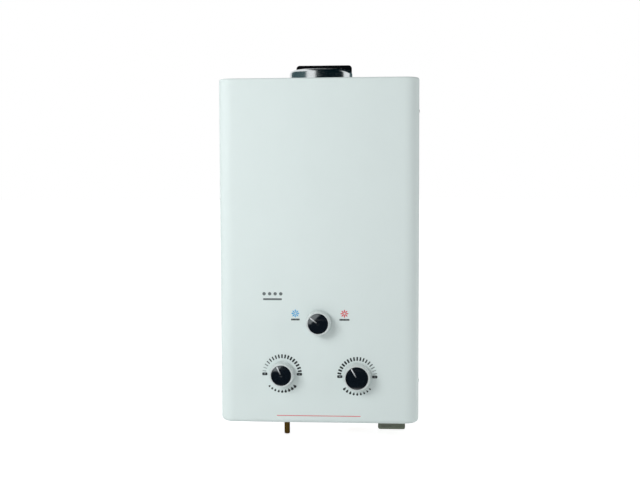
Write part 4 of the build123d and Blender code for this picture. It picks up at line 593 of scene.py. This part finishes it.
def flame_outline(height):
    """A plain flame, foot at the middle."""
    right = [(0.0, -0.5), (0.26, -0.44), (0.37, -0.22), (0.33, 0.0), (0.2, 0.16), (0.1, 0.34)]
    left = [(0.02, 0.5), (-0.1, 0.3), (-0.16, 0.14), (-0.3, 0.02), (-0.37, -0.2), (-0.26, -0.44)]
    return [(x * height, z * height) for x, z in right + left]


def drop_outline(height, steps=12):
    """A plain water drop."""
    points = [(0.0, 0.5 * height)]
    radius = 0.31 * height
    for step in range(steps + 1):
        angle = math.radians(28.0) - math.radians(236.0) * step / steps
        points.append((radius * math.cos(angle), -0.19 * height + radius * math.sin(angle)))
    return points


class HEATER_OT_cover(bpy.types.Operator):
    """Gives the front cover its cool white enamel"""

    bl_idname = "heater.cover"
    bl_label = "Enamelled cover"

    def execute(self, context):
        finishes = context.scene.heater_finishes
        enamel = surface_finish(
            "cool_white_enamel", "grain", finishes.enamel, spread=0.982,
            scale=650.0, rough=(0.36, 0.44), relief=(0.06, 0.05 * MM), specular=0.22,
            film=("dust", {"Dust": shade(finishes.enamel, 0.86), "Amount": 0.25}),
        )
        dress(enamel, "front_cover")
        return {"FINISHED"}


class HEATER_OT_sight_window(bpy.types.Operator):
    """Sets a sheet of cloudy mica behind the sight holes, on the cover's inner side"""

    bl_idname = "heater.sight_window"
    bl_label = "Sight window"

    def execute(self, context):
        window = context.scene.heater_window
        cloudy = surface_finish(
            "cloudy_mica", "grain", context.scene.heater_finishes.mica, spread=0.8,
            scale=420.0, rough=(0.32, 0.5), relief=(0.10, 0.03 * MM),
        )
        middle = (window.x, CASING_FOOT + window.height)
        outline = rounded_bar(window.length, window.width, window.corner, middle)
        front = PANEL_Y + window.inset
        add_plates("sight_window", [outline], front + window.sheet, front, [cloudy], None)
        return {"FINISHED"}


class HEATER_OT_frame_sheets(bpy.types.Operator):
    """Gives the inner sheets, brackets and burner tray their zinc spangle"""

    bl_idname = "heater.frame_sheets"
    bl_label = "Zinc sheets"

    def execute(self, context):
        finishes = context.scene.heater_finishes
        zinc = surface_finish(
            "zinc_spangle", "spangle", finishes.zinc, spread=0.72,
            scale=150.0, rough=(0.34, 0.52), relief=(0.08, 0.05 * MM), metallic=0.9,
            film=("dust", {"Dust": (0.34, 0.32, 0.30), "Amount": 0.35}),
        )
        dress(
            zinc, "back_plate", "top_plate", "bottom_plate", "flue_hood", "chamber_brackets",
            "valve_bracket", "burner_tray",
        )
        return {"FINISHED"}


class HEATER_OT_hanging_bracket(bpy.types.Operator):
    """Gives the hanging bracket its gloss black paint"""

    bl_idname = "heater.hanging_bracket"
    bl_label = "Hanging bracket"

    def execute(self, context):
        finishes = context.scene.heater_finishes
        paint = surface_finish(
            "gloss_black_paint", "grain", finishes.black_paint, spread=1.8,
            scale=520.0, rough=(0.16, 0.28), relief=(0.10, 0.05 * MM), specular=0.2,
            film=("dust", {"Dust": (0.03, 0.03, 0.03), "Amount": 0.12}),
        )
        dress(paint, "hanging_bracket")
        return {"FINISHED"}


class HEATER_OT_flue_collar(bpy.types.Operator):
    """Gives the flue collar its spun and polished metal"""

    bl_idname = "heater.flue_collar"
    bl_label = "Flue collar"

    def execute(self, context):
        finishes = context.scene.heater_finishes
        spun = surface_finish(
            "spun_bright_metal", "lines", finishes.collar, spread=0.88,
            scale=(25.0, 25.0, 2600.0), rough=(0.15, 0.26), relief=(0.05, 0.03 * MM), metallic=1.0,
        )
        dress(spun, "flue_collar")
        return {"FINISHED"}


class HEATER_OT_fasteners(bpy.types.Operator):
    """Gives screws, rivets, pins and spindles their bright plating"""

    bl_idname = "heater.fasteners"
    bl_label = "Fasteners and spindles"

    def execute(self, context):
        finishes = context.scene.heater_finishes
        plate = surface_finish(
            "bright_plate", "grain", finishes.plate, spread=0.8,
            scale=1500.0, rough=(0.18, 0.34), relief=(0.08, 0.02 * MM), metallic=1.0,
        )
        dress(
            plate, "bracket_rivets", "cover_screws", "collar_screws", "diaphragm_screws",
            "door_hinge_pin", "push_rod", "microswitch_lever", "overheat_thermostat",
            *[knob + "_spindle" for knob in KNOBS],
        )
        return {"FINISHED"}


class HEATER_OT_exchanger(bpy.types.Operator):
    """Gives the fire chamber, fins, tubes and coil their bare copper"""

    bl_idname = "heater.exchanger"
    bl_label = "Copper exchanger"

    def execute(self, context):
        finishes = context.scene.heater_finishes
        copper = surface_finish(
            "bare_copper", "grain", finishes.copper, spread=0.82,
            scale=420.0, rough=(0.26, 0.44), relief=(0.08, 0.05 * MM), metallic=1.0,
            film=("tarnish", {"Tarnish": (0.20, 0.085, 0.055), "Scale": 28.0, "Amount": 0.6}),
        )
        dress(copper, "fire_chamber", "exchanger_fins", "exchanger_tubes", "jacket_coil", "hot_pipe")
        return {"FINISHED"}


class HEATER_OT_burner(bpy.types.Operator):
    """Gives the burner bars heat-dulled steel and the electrodes glazed ceramic"""

    bl_idname = "heater.burner"
    bl_label = "Burner and electrodes"

    def execute(self, context):
        finishes = context.scene.heater_finishes
        steel = surface_finish(
            "heat_dulled_steel", "lines", finishes.burner, spread=0.7,
            scale=(700.0, 25.0, 700.0), rough=(0.34, 0.55), relief=(0.08, 0.04 * MM), metallic=1.0,
            film=("tarnish", {"Tarnish": (0.10, 0.07, 0.09), "Scale": 55.0, "Amount": 0.7}),
        )
        glaze = surface_finish(
            "glazed_ceramic", "grain", finishes.ceramic, spread=0.9,
            scale=800.0, rough=(0.14, 0.24), relief=(0.05, 0.03 * MM), coat=0.4,
        )
        dress(steel, "burner_bars")
        dress(glaze, "ignition_electrode", "flame_sensor")
        return {"FINISHED"}


class HEATER_OT_cast_bodies(bpy.types.Operator):
    """Gives the valves, manifold, riser and diaphragm cover their die-cast skin"""

    bl_idname = "heater.cast_bodies"
    bl_label = "Cast gas train"

    def execute(self, context):
        finishes = context.scene.heater_finishes
        cast = surface_finish(
            "die_cast_skin", "grain", finishes.cast_alloy, spread=0.78,
            scale=1100.0, rough=(0.42, 0.62), relief=(0.22, 0.06 * MM), metallic=0.95,
            film=("dust", {"Dust": (0.32, 0.31, 0.30), "Amount": 0.25}),
        )
        dress(cast, "gas_manifold", "season_valve", "gas_riser", "gas_valve_body", "diaphragm_cover")
        return {"FINISHED"}


class HEATER_OT_brass_pieces(bpy.types.Operator):
    """Gives the connections, injectors, contacts and water valve their turned brass"""

    bl_idname = "heater.brass_pieces"
    bl_label = "Brass pieces"

    def execute(self, context):
        finishes = context.scene.heater_finishes
        brass = surface_finish(
            "turned_brass", "lines", finishes.brass, spread=0.74,
            scale=(60.0, 60.0, 2400.0), rough=(0.22, 0.38), relief=(0.10, 0.03 * MM), metallic=1.0,
            film=("tarnish", {"Tarnish": (0.13, 0.085, 0.035), "Scale": 90.0, "Amount": 0.6}),
        )
        # The gas tail's brass is a far darker copy. Its base colour paints shade and dim reflections,
        # and its tarnish film is real tarnish.
        gas_tail_brass = surface_finish(
            "shade_darkened_brass", "lines", finishes.shade_darkened_brass, spread=0.7,
            scale=(60.0, 60.0, 2400.0), rough=(0.24, 0.40), relief=(0.10, 0.03 * MM), metallic=1.0,
            film=("tarnish", {"Tarnish": (0.05, 0.032, 0.012), "Scale": 120.0, "Amount": 0.5}),
        )
        gas_tail_shader = gas_tail_brass.node_tree.nodes["Principled BSDF"]
        gas_tail_shader.inputs["Specular Tint"].default_value = GAS_TAIL_BRASS_TINT
        dress(gas_tail_brass, "gas_inlet", "gas_inlet_nut")
        dress(
            brass, "water_inlet", "hot_outlet", "water_valve_body", "drain_plug", "injectors",
            "battery_contacts",
        )
        return {"FINISHED"}


class HEATER_OT_electrics(bpy.types.Operator):
    """Gives the igniter, switch and solenoid dark moulding, and the diaphragm its rubber"""

    bl_idname = "heater.electrics"
    bl_label = "Electrics and diaphragm"

    def execute(self, context):
        finishes = context.scene.heater_finishes
        moulding = surface_finish(
            "dark_moulding", "grain", finishes.moulding, spread=1.5,
            scale=1400.0, rough=(0.40, 0.58), relief=(0.16, 0.04 * MM),
            film=("dust", {"Dust": (0.20, 0.19, 0.18), "Amount": 0.25}),
        )
        rubber = surface_finish(
            "matte_rubber", "grain", finishes.rubber, spread=1.4,
            scale=900.0, rough=(0.62, 0.8), relief=(0.20, 0.05 * MM), specular=0.3,
        )
        dress(moulding, "igniter_box", "microswitch", "solenoid_valve")
        dress(rubber, "diaphragm")
        return {"FINISHED"}


class HEATER_OT_battery_case(bpy.types.Operator):
    """Gives the battery box and door their olive-grey moulding and the cells a plain sleeve"""

    bl_idname = "heater.battery_case"
    bl_label = "Battery box"

    def execute(self, context):
        finishes = context.scene.heater_finishes
        moulding = surface_finish(
            "olive_grey_moulding", "grain", finishes.battery, spread=0.8,
            scale=1200.0, rough=(0.40, 0.56), relief=(0.20, 0.05 * MM), specular=0.45,
        )
        sleeve = surface_finish(
            "plain_cell_sleeve", "lines", finishes.sleeve, spread=1.4,
            scale=(900.0, 40.0, 900.0), rough=(0.24, 0.36), relief=(0.04, 0.03 * MM), coat=0.3,
        )
        dress(moulding, "battery_box", "battery_door")
        dress(sleeve, "battery_cells")
        return {"FINISHED"}


class HEATER_OT_knobs(bpy.types.Operator):
    """Gives the three knobs satin silver bodies, turned black faces and white pointers"""

    bl_idname = "heater.knobs"
    bl_label = "Control knobs"

    def execute(self, context):
        finishes = context.scene.heater_finishes
        silver = surface_finish(
            "satin_silver_moulding", "grain", finishes.knob_body, spread=0.94,
            scale=1500.0, rough=(0.24, 0.34), relief=(0.06, 0.02 * MM), metallic=0.15,
        )
        for knob in KNOBS:
            dress(silver, knob + "_knob_body")
            dress(pointer_finish(knob, finishes.pointer), knob + "_knob_pointer")
            dress(knob_face_finish(knob, finishes.knob_face), knob + "_knob_face")
        return {"FINISHED"}


class HEATER_OT_tick_scales(bpy.types.Operator):
    """Prints the tick scales and their end marks round the gas and water knobs"""

    bl_idname = "heater.tick_scales"
    bl_label = "Tick scales"

    def execute(self, context):
        settings = context.scene.heater_print
        dark, pale = Vector(settings.dark_ink), Vector(settings.pale_ink)
        inks = []
        for tone, share in enumerate((0.0, 0.45, 0.75, 0.92, 1.0)):
            inks.append(ink_finish("scale_ink_%d" % tone, pale.lerp(dark, share)))
        length = settings.end_outer - settings.end_inner
        width = settings.end_width
        for knob, rising in (("gas", True), ("water", False)):
            centre = knob_centre(knob)
            outlines, tones = self.ticks(settings, centre, rising, len(inks))
            print_on_cover(knob + "_ticks", outlines, inks, tones)
            ends = self.end_bars(settings, centre, length, width, 0.32 * width)
            print_on_cover(knob + "_end_marks", ends, [inks[-1]])
            slots = self.end_bars(settings, centre, 0.32 * length, 0.2 * width, 0.08 * width)
            print_on_cover(knob + "_end_slots", slots, [inks[0]], lift=2.0)
        return {"FINISHED"}

    def ticks(self, settings, centre, rising, ink_count):
        """Outlines of a scale's ticks, bolder towards one end, and the number of each one's ink."""
        swelling, darkening, corner_share = 1.4, 2.6, 0.25
        length = settings.tick_outer - settings.tick_inner
        middle = (settings.tick_inner + length / 2, 0.0)
        outlines, tones = [], []
        for number in range(1, settings.tick_count + 1):
            share = (number - 1) / (settings.tick_count - 1)
            boldness = share if rising else 1.0 - share
            growth = settings.tick_thick - settings.tick_thin
            width = settings.tick_thin + growth * min(1.0, boldness * swelling)
            angle = math.pi - math.pi * number / (settings.tick_count + 1)
            bar = rounded_bar(length, width, corner_share * width, middle)
            outlines.append(turned(bar, angle, centre))
            tones.append(min(ink_count - 1, int(boldness * darkening * ink_count)))
        return outlines, tones

    def end_bars(self, settings, centre, length, width, corner):
        """Outlines of a bar in the middle of each end mark."""
        middle = (settings.end_inner + (settings.end_outer - settings.end_inner) / 2, 0.0)
        bar = rounded_bar(length, width, corner, middle)
        return [turned(bar, angle, centre) for angle in (0.0, math.pi)]


class HEATER_OT_season_symbols(bpy.types.Operator):
    """Prints the blue snow and red sun symbols, each with a row of small blocks"""

    bl_idname = "heater.season_symbols"
    bl_label = "Season symbols"

    def execute(self, context):
        settings = context.scene.heater_print
        reach = settings.symbol_radius
        height = CASING_FOOT + settings.symbol_height
        snow, sun = (settings.snow_x, height), (settings.sun_x, height)
        snow_ray = tapered_ray(0.22 * reach, reach, 0.16 * reach, 0.22 * reach)
        sun_ray = tapered_ray(0.22 * reach, 0.98 * reach, 0.14 * reach, 0.30 * reach)
        barb = rounded_bar(0.30 * reach, 0.12 * reach, 0.05 * reach, (0.15 * reach, 0.0))
        snow_rays, sun_rays = [], []
        for angle in [math.radians(45.0) * number for number in range(8)]:
            snow_rays.append(turned(snow_ray, angle, snow))
            for lean in (math.radians(-48.0), math.radians(48.0)):
                leaning = turned(barb, lean, (0.56 * reach, 0.0))
                snow_rays.append(turned(leaning, angle, snow))
            sun_rays.append(turned(sun_ray, angle, sun))
        print_on_cover("snow_symbol", snow_rays, [ink_finish("snow_blue_ink", settings.blue_ink)])
        print_on_cover("sun_symbol", sun_rays, [ink_finish("sun_red_ink", settings.red_ink)])
        dark = ink_finish("symbol_dark_ink", settings.dark_ink)
        pitch, width, tall, corner = 2.0 * MM, 1.7 * MM, 2.5 * MM, 0.3 * MM
        level = height - settings.season_drop
        for name, x, count in (("snow_blocks", snow[0], 6), ("sun_blocks", sun[0], 7)):
            blocks = []
            for number in range(count):
                place = (x + (number - (count - 1) / 2) * pitch, level)
                blocks.append(rounded_bar(width, tall, corner, place))
            print_on_cover(name, blocks, [dark])
        return {"FINISHED"}


class HEATER_OT_flow_icons(bpy.types.Operator):
    """Prints rows of small flames and drops under the gas and water knobs"""

    bl_idname = "heater.flow_icons"
    bl_label = "Flow icons"

    def execute(self, context):
        settings = context.scene.heater_print
        dark = ink_finish("icon_dark_ink", settings.dark_ink)
        for knob, outline, rising in (("gas", flame_outline, True), ("water", drop_outline, False)):
            centre = knob_centre(knob)
            icons = []
            for number in range(settings.icon_count):
                share = number / (settings.icon_count - 1)
                size = share if rising else 1.0 - share
                height = settings.icon_small + (settings.icon_large - settings.icon_small) * size
                angle = math.radians(-90.0) + settings.icon_sweep * (share - 0.5)
                place = (
                    centre[0] + settings.icon_radius * math.cos(angle),
                    centre[1] + settings.icon_radius * math.sin(angle),
                )
                icons.append(turned(outline(height), angle + math.radians(90.0), place))
            print_on_cover(knob + "_icons", icons, [dark])
        return {"FINISHED"}


class HEATER_OT_foot_stripe(bpy.types.Operator):
    """Prints a thin red line near the cover's foot"""

    bl_idname = "heater.foot_stripe"
    bl_label = "Foot stripe"

    def execute(self, context):
        settings = context.scene.heater_print
        bar = rounded_bar(
            settings.stripe_length,
            settings.stripe_width,
            0.4 * settings.stripe_width,
            (0.0, CASING_FOOT + settings.stripe_height),
        )
        print_on_cover("foot_stripe", [bar], [ink_finish("stripe_red_ink", settings.red_ink)])
        return {"FINISHED"}


def add_sheet(name, width, height, level=0.0):
    """A flat rectangle of the stage, with a new material: its object and its node tree."""
    x, y = width / 2, height / 2
    mesh = bpy.data.meshes.new(name)
    corners = [(-x, -y, level), (x, -y, level), (x, y, level), (-x, y, level)]
    mesh.from_pydata(corners, [], [(0, 1, 2, 3)])
    sheet = bpy.data.objects.new(name, mesh)
    bpy.context.scene.collection.objects.link(sheet)
    material = bpy.data.materials.new(name)
    material.use_nodes = True
    mesh.materials.append(material)
    return sheet, material.node_tree


def aim_at(thing, place, target, axis):
    """Puts a thing at a place, with one of its axes towards a target."""
    thing.location = Vector(place)
    thing.rotation_mode = "QUATERNION"
    thing.rotation_quaternion = (Vector(target) - Vector(place)).to_track_quat(axis, "Y")


def studio_card(name, place, target, size, colour, strength=1.0, turn=0.0):
    """A card that only shiny surfaces see, so that polished surfaces have something to mirror."""
    card, tree = add_sheet(name, *size)
    aim_at(card, place, target, "Z")
    card.rotation_quaternion = card.rotation_quaternion @ Quaternion((0.0, 0.0, 1.0), turn)
    tree.nodes.remove(tree.nodes["Principled BSDF"])
    glow = tree.nodes.new("ShaderNodeEmission")
    glow.inputs["Color"].default_value = (*colour, 1.0)
    glow.inputs["Strength"].default_value = strength
    tree.links.new(glow.outputs["Emission"], tree.nodes["Material Output"].inputs["Surface"])
    card.visible_camera = False
    card.visible_diffuse = False
    card.visible_transmission = False
    card.visible_shadow = False


def seen_directly(tree):
    """1 for what the camera sees, also in a mirror or through glass, and 0 for other light."""
    path = tree.nodes.new("ShaderNodeLightPath").outputs
    seen = math_of(tree, "MAXIMUM", path["Is Camera Ray"], path["Is Glossy Ray"])
    return math_of(tree, "MAXIMUM", seen, path["Is Transmission Ray"])


def mix_shaders(tree, share, first, second, output):
    """Mixes two shaders into a tree's output."""
    mix = tree.nodes.new("ShaderNodeMixShader")
    tree.links.new(share, mix.inputs["Fac"])
    tree.links.new(first, mix.inputs[1])
    tree.links.new(second, mix.inputs[2])
    tree.links.new(mix.outputs["Shader"], tree.nodes[output].inputs["Surface"])


class HEATER_OT_studio(bpy.types.Operator):
    """Sets the white floor, the room light, the soft lamps, the mirrored cards and the camera"""

    bl_idname = "heater.studio"
    bl_label = "Studio"

    def execute(self, context):
        scene = context.scene
        settings = scene.heater_studio
        scene.view_settings.view_transform = "Standard"
        self.room(scene, settings)
        self.floor(settings)
        self.lamp(scene, "soft_key", settings.key_power, settings.key_place, settings.lamp_size)
        self.lamp(scene, "soft_fill", settings.fill_power, settings.fill_place, settings.lamp_size)
        self.cards()
        self.camera(scene, settings)
        return {"FINISHED"}

    def room(self, scene, settings):
        """A room that looks white and gives soft light from all sides."""
        world = bpy.data.worlds.new("white_room")
        world.use_nodes = True
        tree = world.node_tree
        shown = tree.nodes["Background"]
        shown.inputs["Color"].default_value = WHITE
        shown.inputs["Strength"].default_value = 1.0
        light = tree.nodes.new("ShaderNodeBackground")
        light.inputs["Color"].default_value = WHITE
        light.inputs["Strength"].default_value = settings.ambient
        backs = light.outputs["Background"], shown.outputs["Background"]
        mix_shaders(tree, seen_directly(tree), *backs, "World Output")
        scene.world = world

    def floor(self, settings):
        """A white floor that keeps the object's shadow and is clear from below."""
        level = CAD_BOX[0][2] - settings.floor_gap
        floor, tree = add_sheet("studio_floor", settings.floor_size, settings.floor_size, level)
        shader = tree.nodes["Principled BSDF"]
        shader.inputs["Base Color"].default_value = FLOOR_GREY
        shader.inputs["Roughness"].default_value = FLOOR_ROUGHNESS
        shader.inputs["Specular IOR Level"].default_value = 0.0
        glow = tree.nodes.new("ShaderNodeEmission")
        glow.inputs["Color"].default_value = WHITE
        strength = math_of(tree, "MULTIPLY", seen_directly(tree), FLOOR_GLOW)
        tree.links.new(strength, glow.inputs["Strength"])
        both = tree.nodes.new("ShaderNodeAddShader")
        tree.links.new(shader.outputs["BSDF"], both.inputs[0])
        tree.links.new(glow.outputs["Emission"], both.inputs[1])
        clear = tree.nodes.new("ShaderNodeBsdfTransparent").outputs["BSDF"]
        below = tree.nodes.new("ShaderNodeNewGeometry").outputs["Backfacing"]
        mix_shaders(tree, below, both.outputs["Shader"], clear, "Material Output")

    def lamp(self, scene, name, power, place, size):
        """A soft square lamp towards the cover's face, which shiny surfaces don't mirror."""
        light = bpy.data.lights.new(name, "AREA")
        light.shape = "SQUARE"
        light.size = size
        light.energy = power
        lamp = bpy.data.objects.new(name, light)
        scene.collection.objects.link(lamp)
        lamp.visible_glossy = False
        aim_at(lamp, place, (0.0, PANEL_Y, 0.0), "-Z")

    def cards(self):
        """Dark, grey and bright cards for the collar, the bracket and the knob faces to mirror."""
        foot = CAD_BOX[0][2]
        studio_card("dark_front_card", (1.985, -2.471, 0.25), CARD_MIDDLE, (9.1, 9.0), DARK_CARD)
        studio_card("dark_floor_card", (0.0, -1.95, foot), (0.0, -1.95, 1.0), (5.0, 3.2), DARK_CARD)
        studio_card("dark_top_card", (0.9, -1.1, 2.6), (0.9, -1.1, 0.0), (4.0, 3.6), DARK_CARD)
        studio_card("dark_back_card", (1.3, 2.2, 2.4), CARD_MIDDLE, (4.2, 3.6), DARK_CARD)
        studio_card("grey_side_card", (-2.6, 0.04, 0.25), (0.0, 0.04, 0.25), (4.5, 3.2), GREY_CARD)
        studio_card("grey_rear_card", (1.3, 2.2, 0.25), CARD_MIDDLE, (1.6, 1.2), GREY_CARD)
        studio_card(
            "bright_low_card",
            (-0.322, -1.345, -0.145),
            (-0.322, 0.0, -0.145),
            (0.20, 0.58),
            BRIGHT_CARD,
            strength=3.8,
            turn=math.radians(45.6),
        )

    def camera(self, scene, settings):
        """The photograph's viewpoint, from yaw, pitch and roll."""
        lens = bpy.data.cameras.new("front_camera")
        lens.sensor_fit = "HORIZONTAL"
        lens.sensor_width = SENSOR_WIDTH
        lens.lens = settings.lens
        lens.clip_start = CLIP_NEAR
        lens.clip_end = CLIP_FAR
        camera = bpy.data.objects.new("front_camera", lens)
        scene.collection.objects.link(camera)
        yaw, pitch, roll = settings.yaw, settings.pitch, settings.roll
        level = math.cos(pitch)
        ahead = Vector((math.sin(yaw) * level, math.cos(yaw) * level, math.sin(pitch)))
        right = Vector((math.cos(yaw), -math.sin(yaw), 0.0))
        up = right.cross(ahead)
        across = math.cos(roll) * right + math.sin(roll) * up
        above = -math.sin(roll) * right + math.cos(roll) * up
        turn = Matrix((across, above, -ahead)).transposed()
        camera.matrix_world = Matrix.Translation(Vector(settings.eye)) @ turn.to_4x4()
        scene.camera = camera


OPERATORS = (
    HEATER_OT_cover,
    HEATER_OT_sight_window,
    HEATER_OT_frame_sheets,
    HEATER_OT_hanging_bracket,
    HEATER_OT_flue_collar,
    HEATER_OT_fasteners,
    HEATER_OT_exchanger,
    HEATER_OT_burner,
    HEATER_OT_cast_bodies,
    HEATER_OT_brass_pieces,
    HEATER_OT_electrics,
    HEATER_OT_battery_case,
    HEATER_OT_knobs,
    HEATER_OT_tick_scales,
    HEATER_OT_season_symbols,
    HEATER_OT_flow_icons,
    HEATER_OT_foot_stripe,
    HEATER_OT_studio,
)


class HEATER_PT_steps(bpy.types.Panel):
    """Lists the steps that dress the heater"""

    bl_idname = "HEATER_PT_steps"
    bl_label = "Water heater"
    bl_space_type = "VIEW_3D"
    bl_region_type = "UI"
    bl_category = "Heater"

    def draw(self, context):
        column = self.layout.column(align=True)
        for step in OPERATORS:
            column.operator(step.bl_idname)


SETTINGS = {
    "heater_finishes": HeaterFinishes,
    "heater_window": HeaterWindow,
    "heater_print": HeaterPrint,
    "heater_studio": HeaterStudio,
}
CLASSES = (*SETTINGS.values(), *OPERATORS, HEATER_PT_steps)


def register():
    """Registers the classes and their settings on the scene."""
    for item in CLASSES:
        bpy.utils.register_class(item)
    for name, group in SETTINGS.items():
        setattr(bpy.types.Scene, name, PointerProperty(type=group))


def unregister():
    """Takes the classes and their settings away again."""
    for name in SETTINGS:
        delattr(bpy.types.Scene, name)
    for item in reversed(CLASSES):
        bpy.utils.unregister_class(item)


def main():
    """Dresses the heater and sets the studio."""
    register()
    for step in OPERATORS:
        group, name = step.bl_idname.split(".")
        getattr(getattr(bpy.ops, group), name)()
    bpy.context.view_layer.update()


if __name__ == "__main__":
    main()
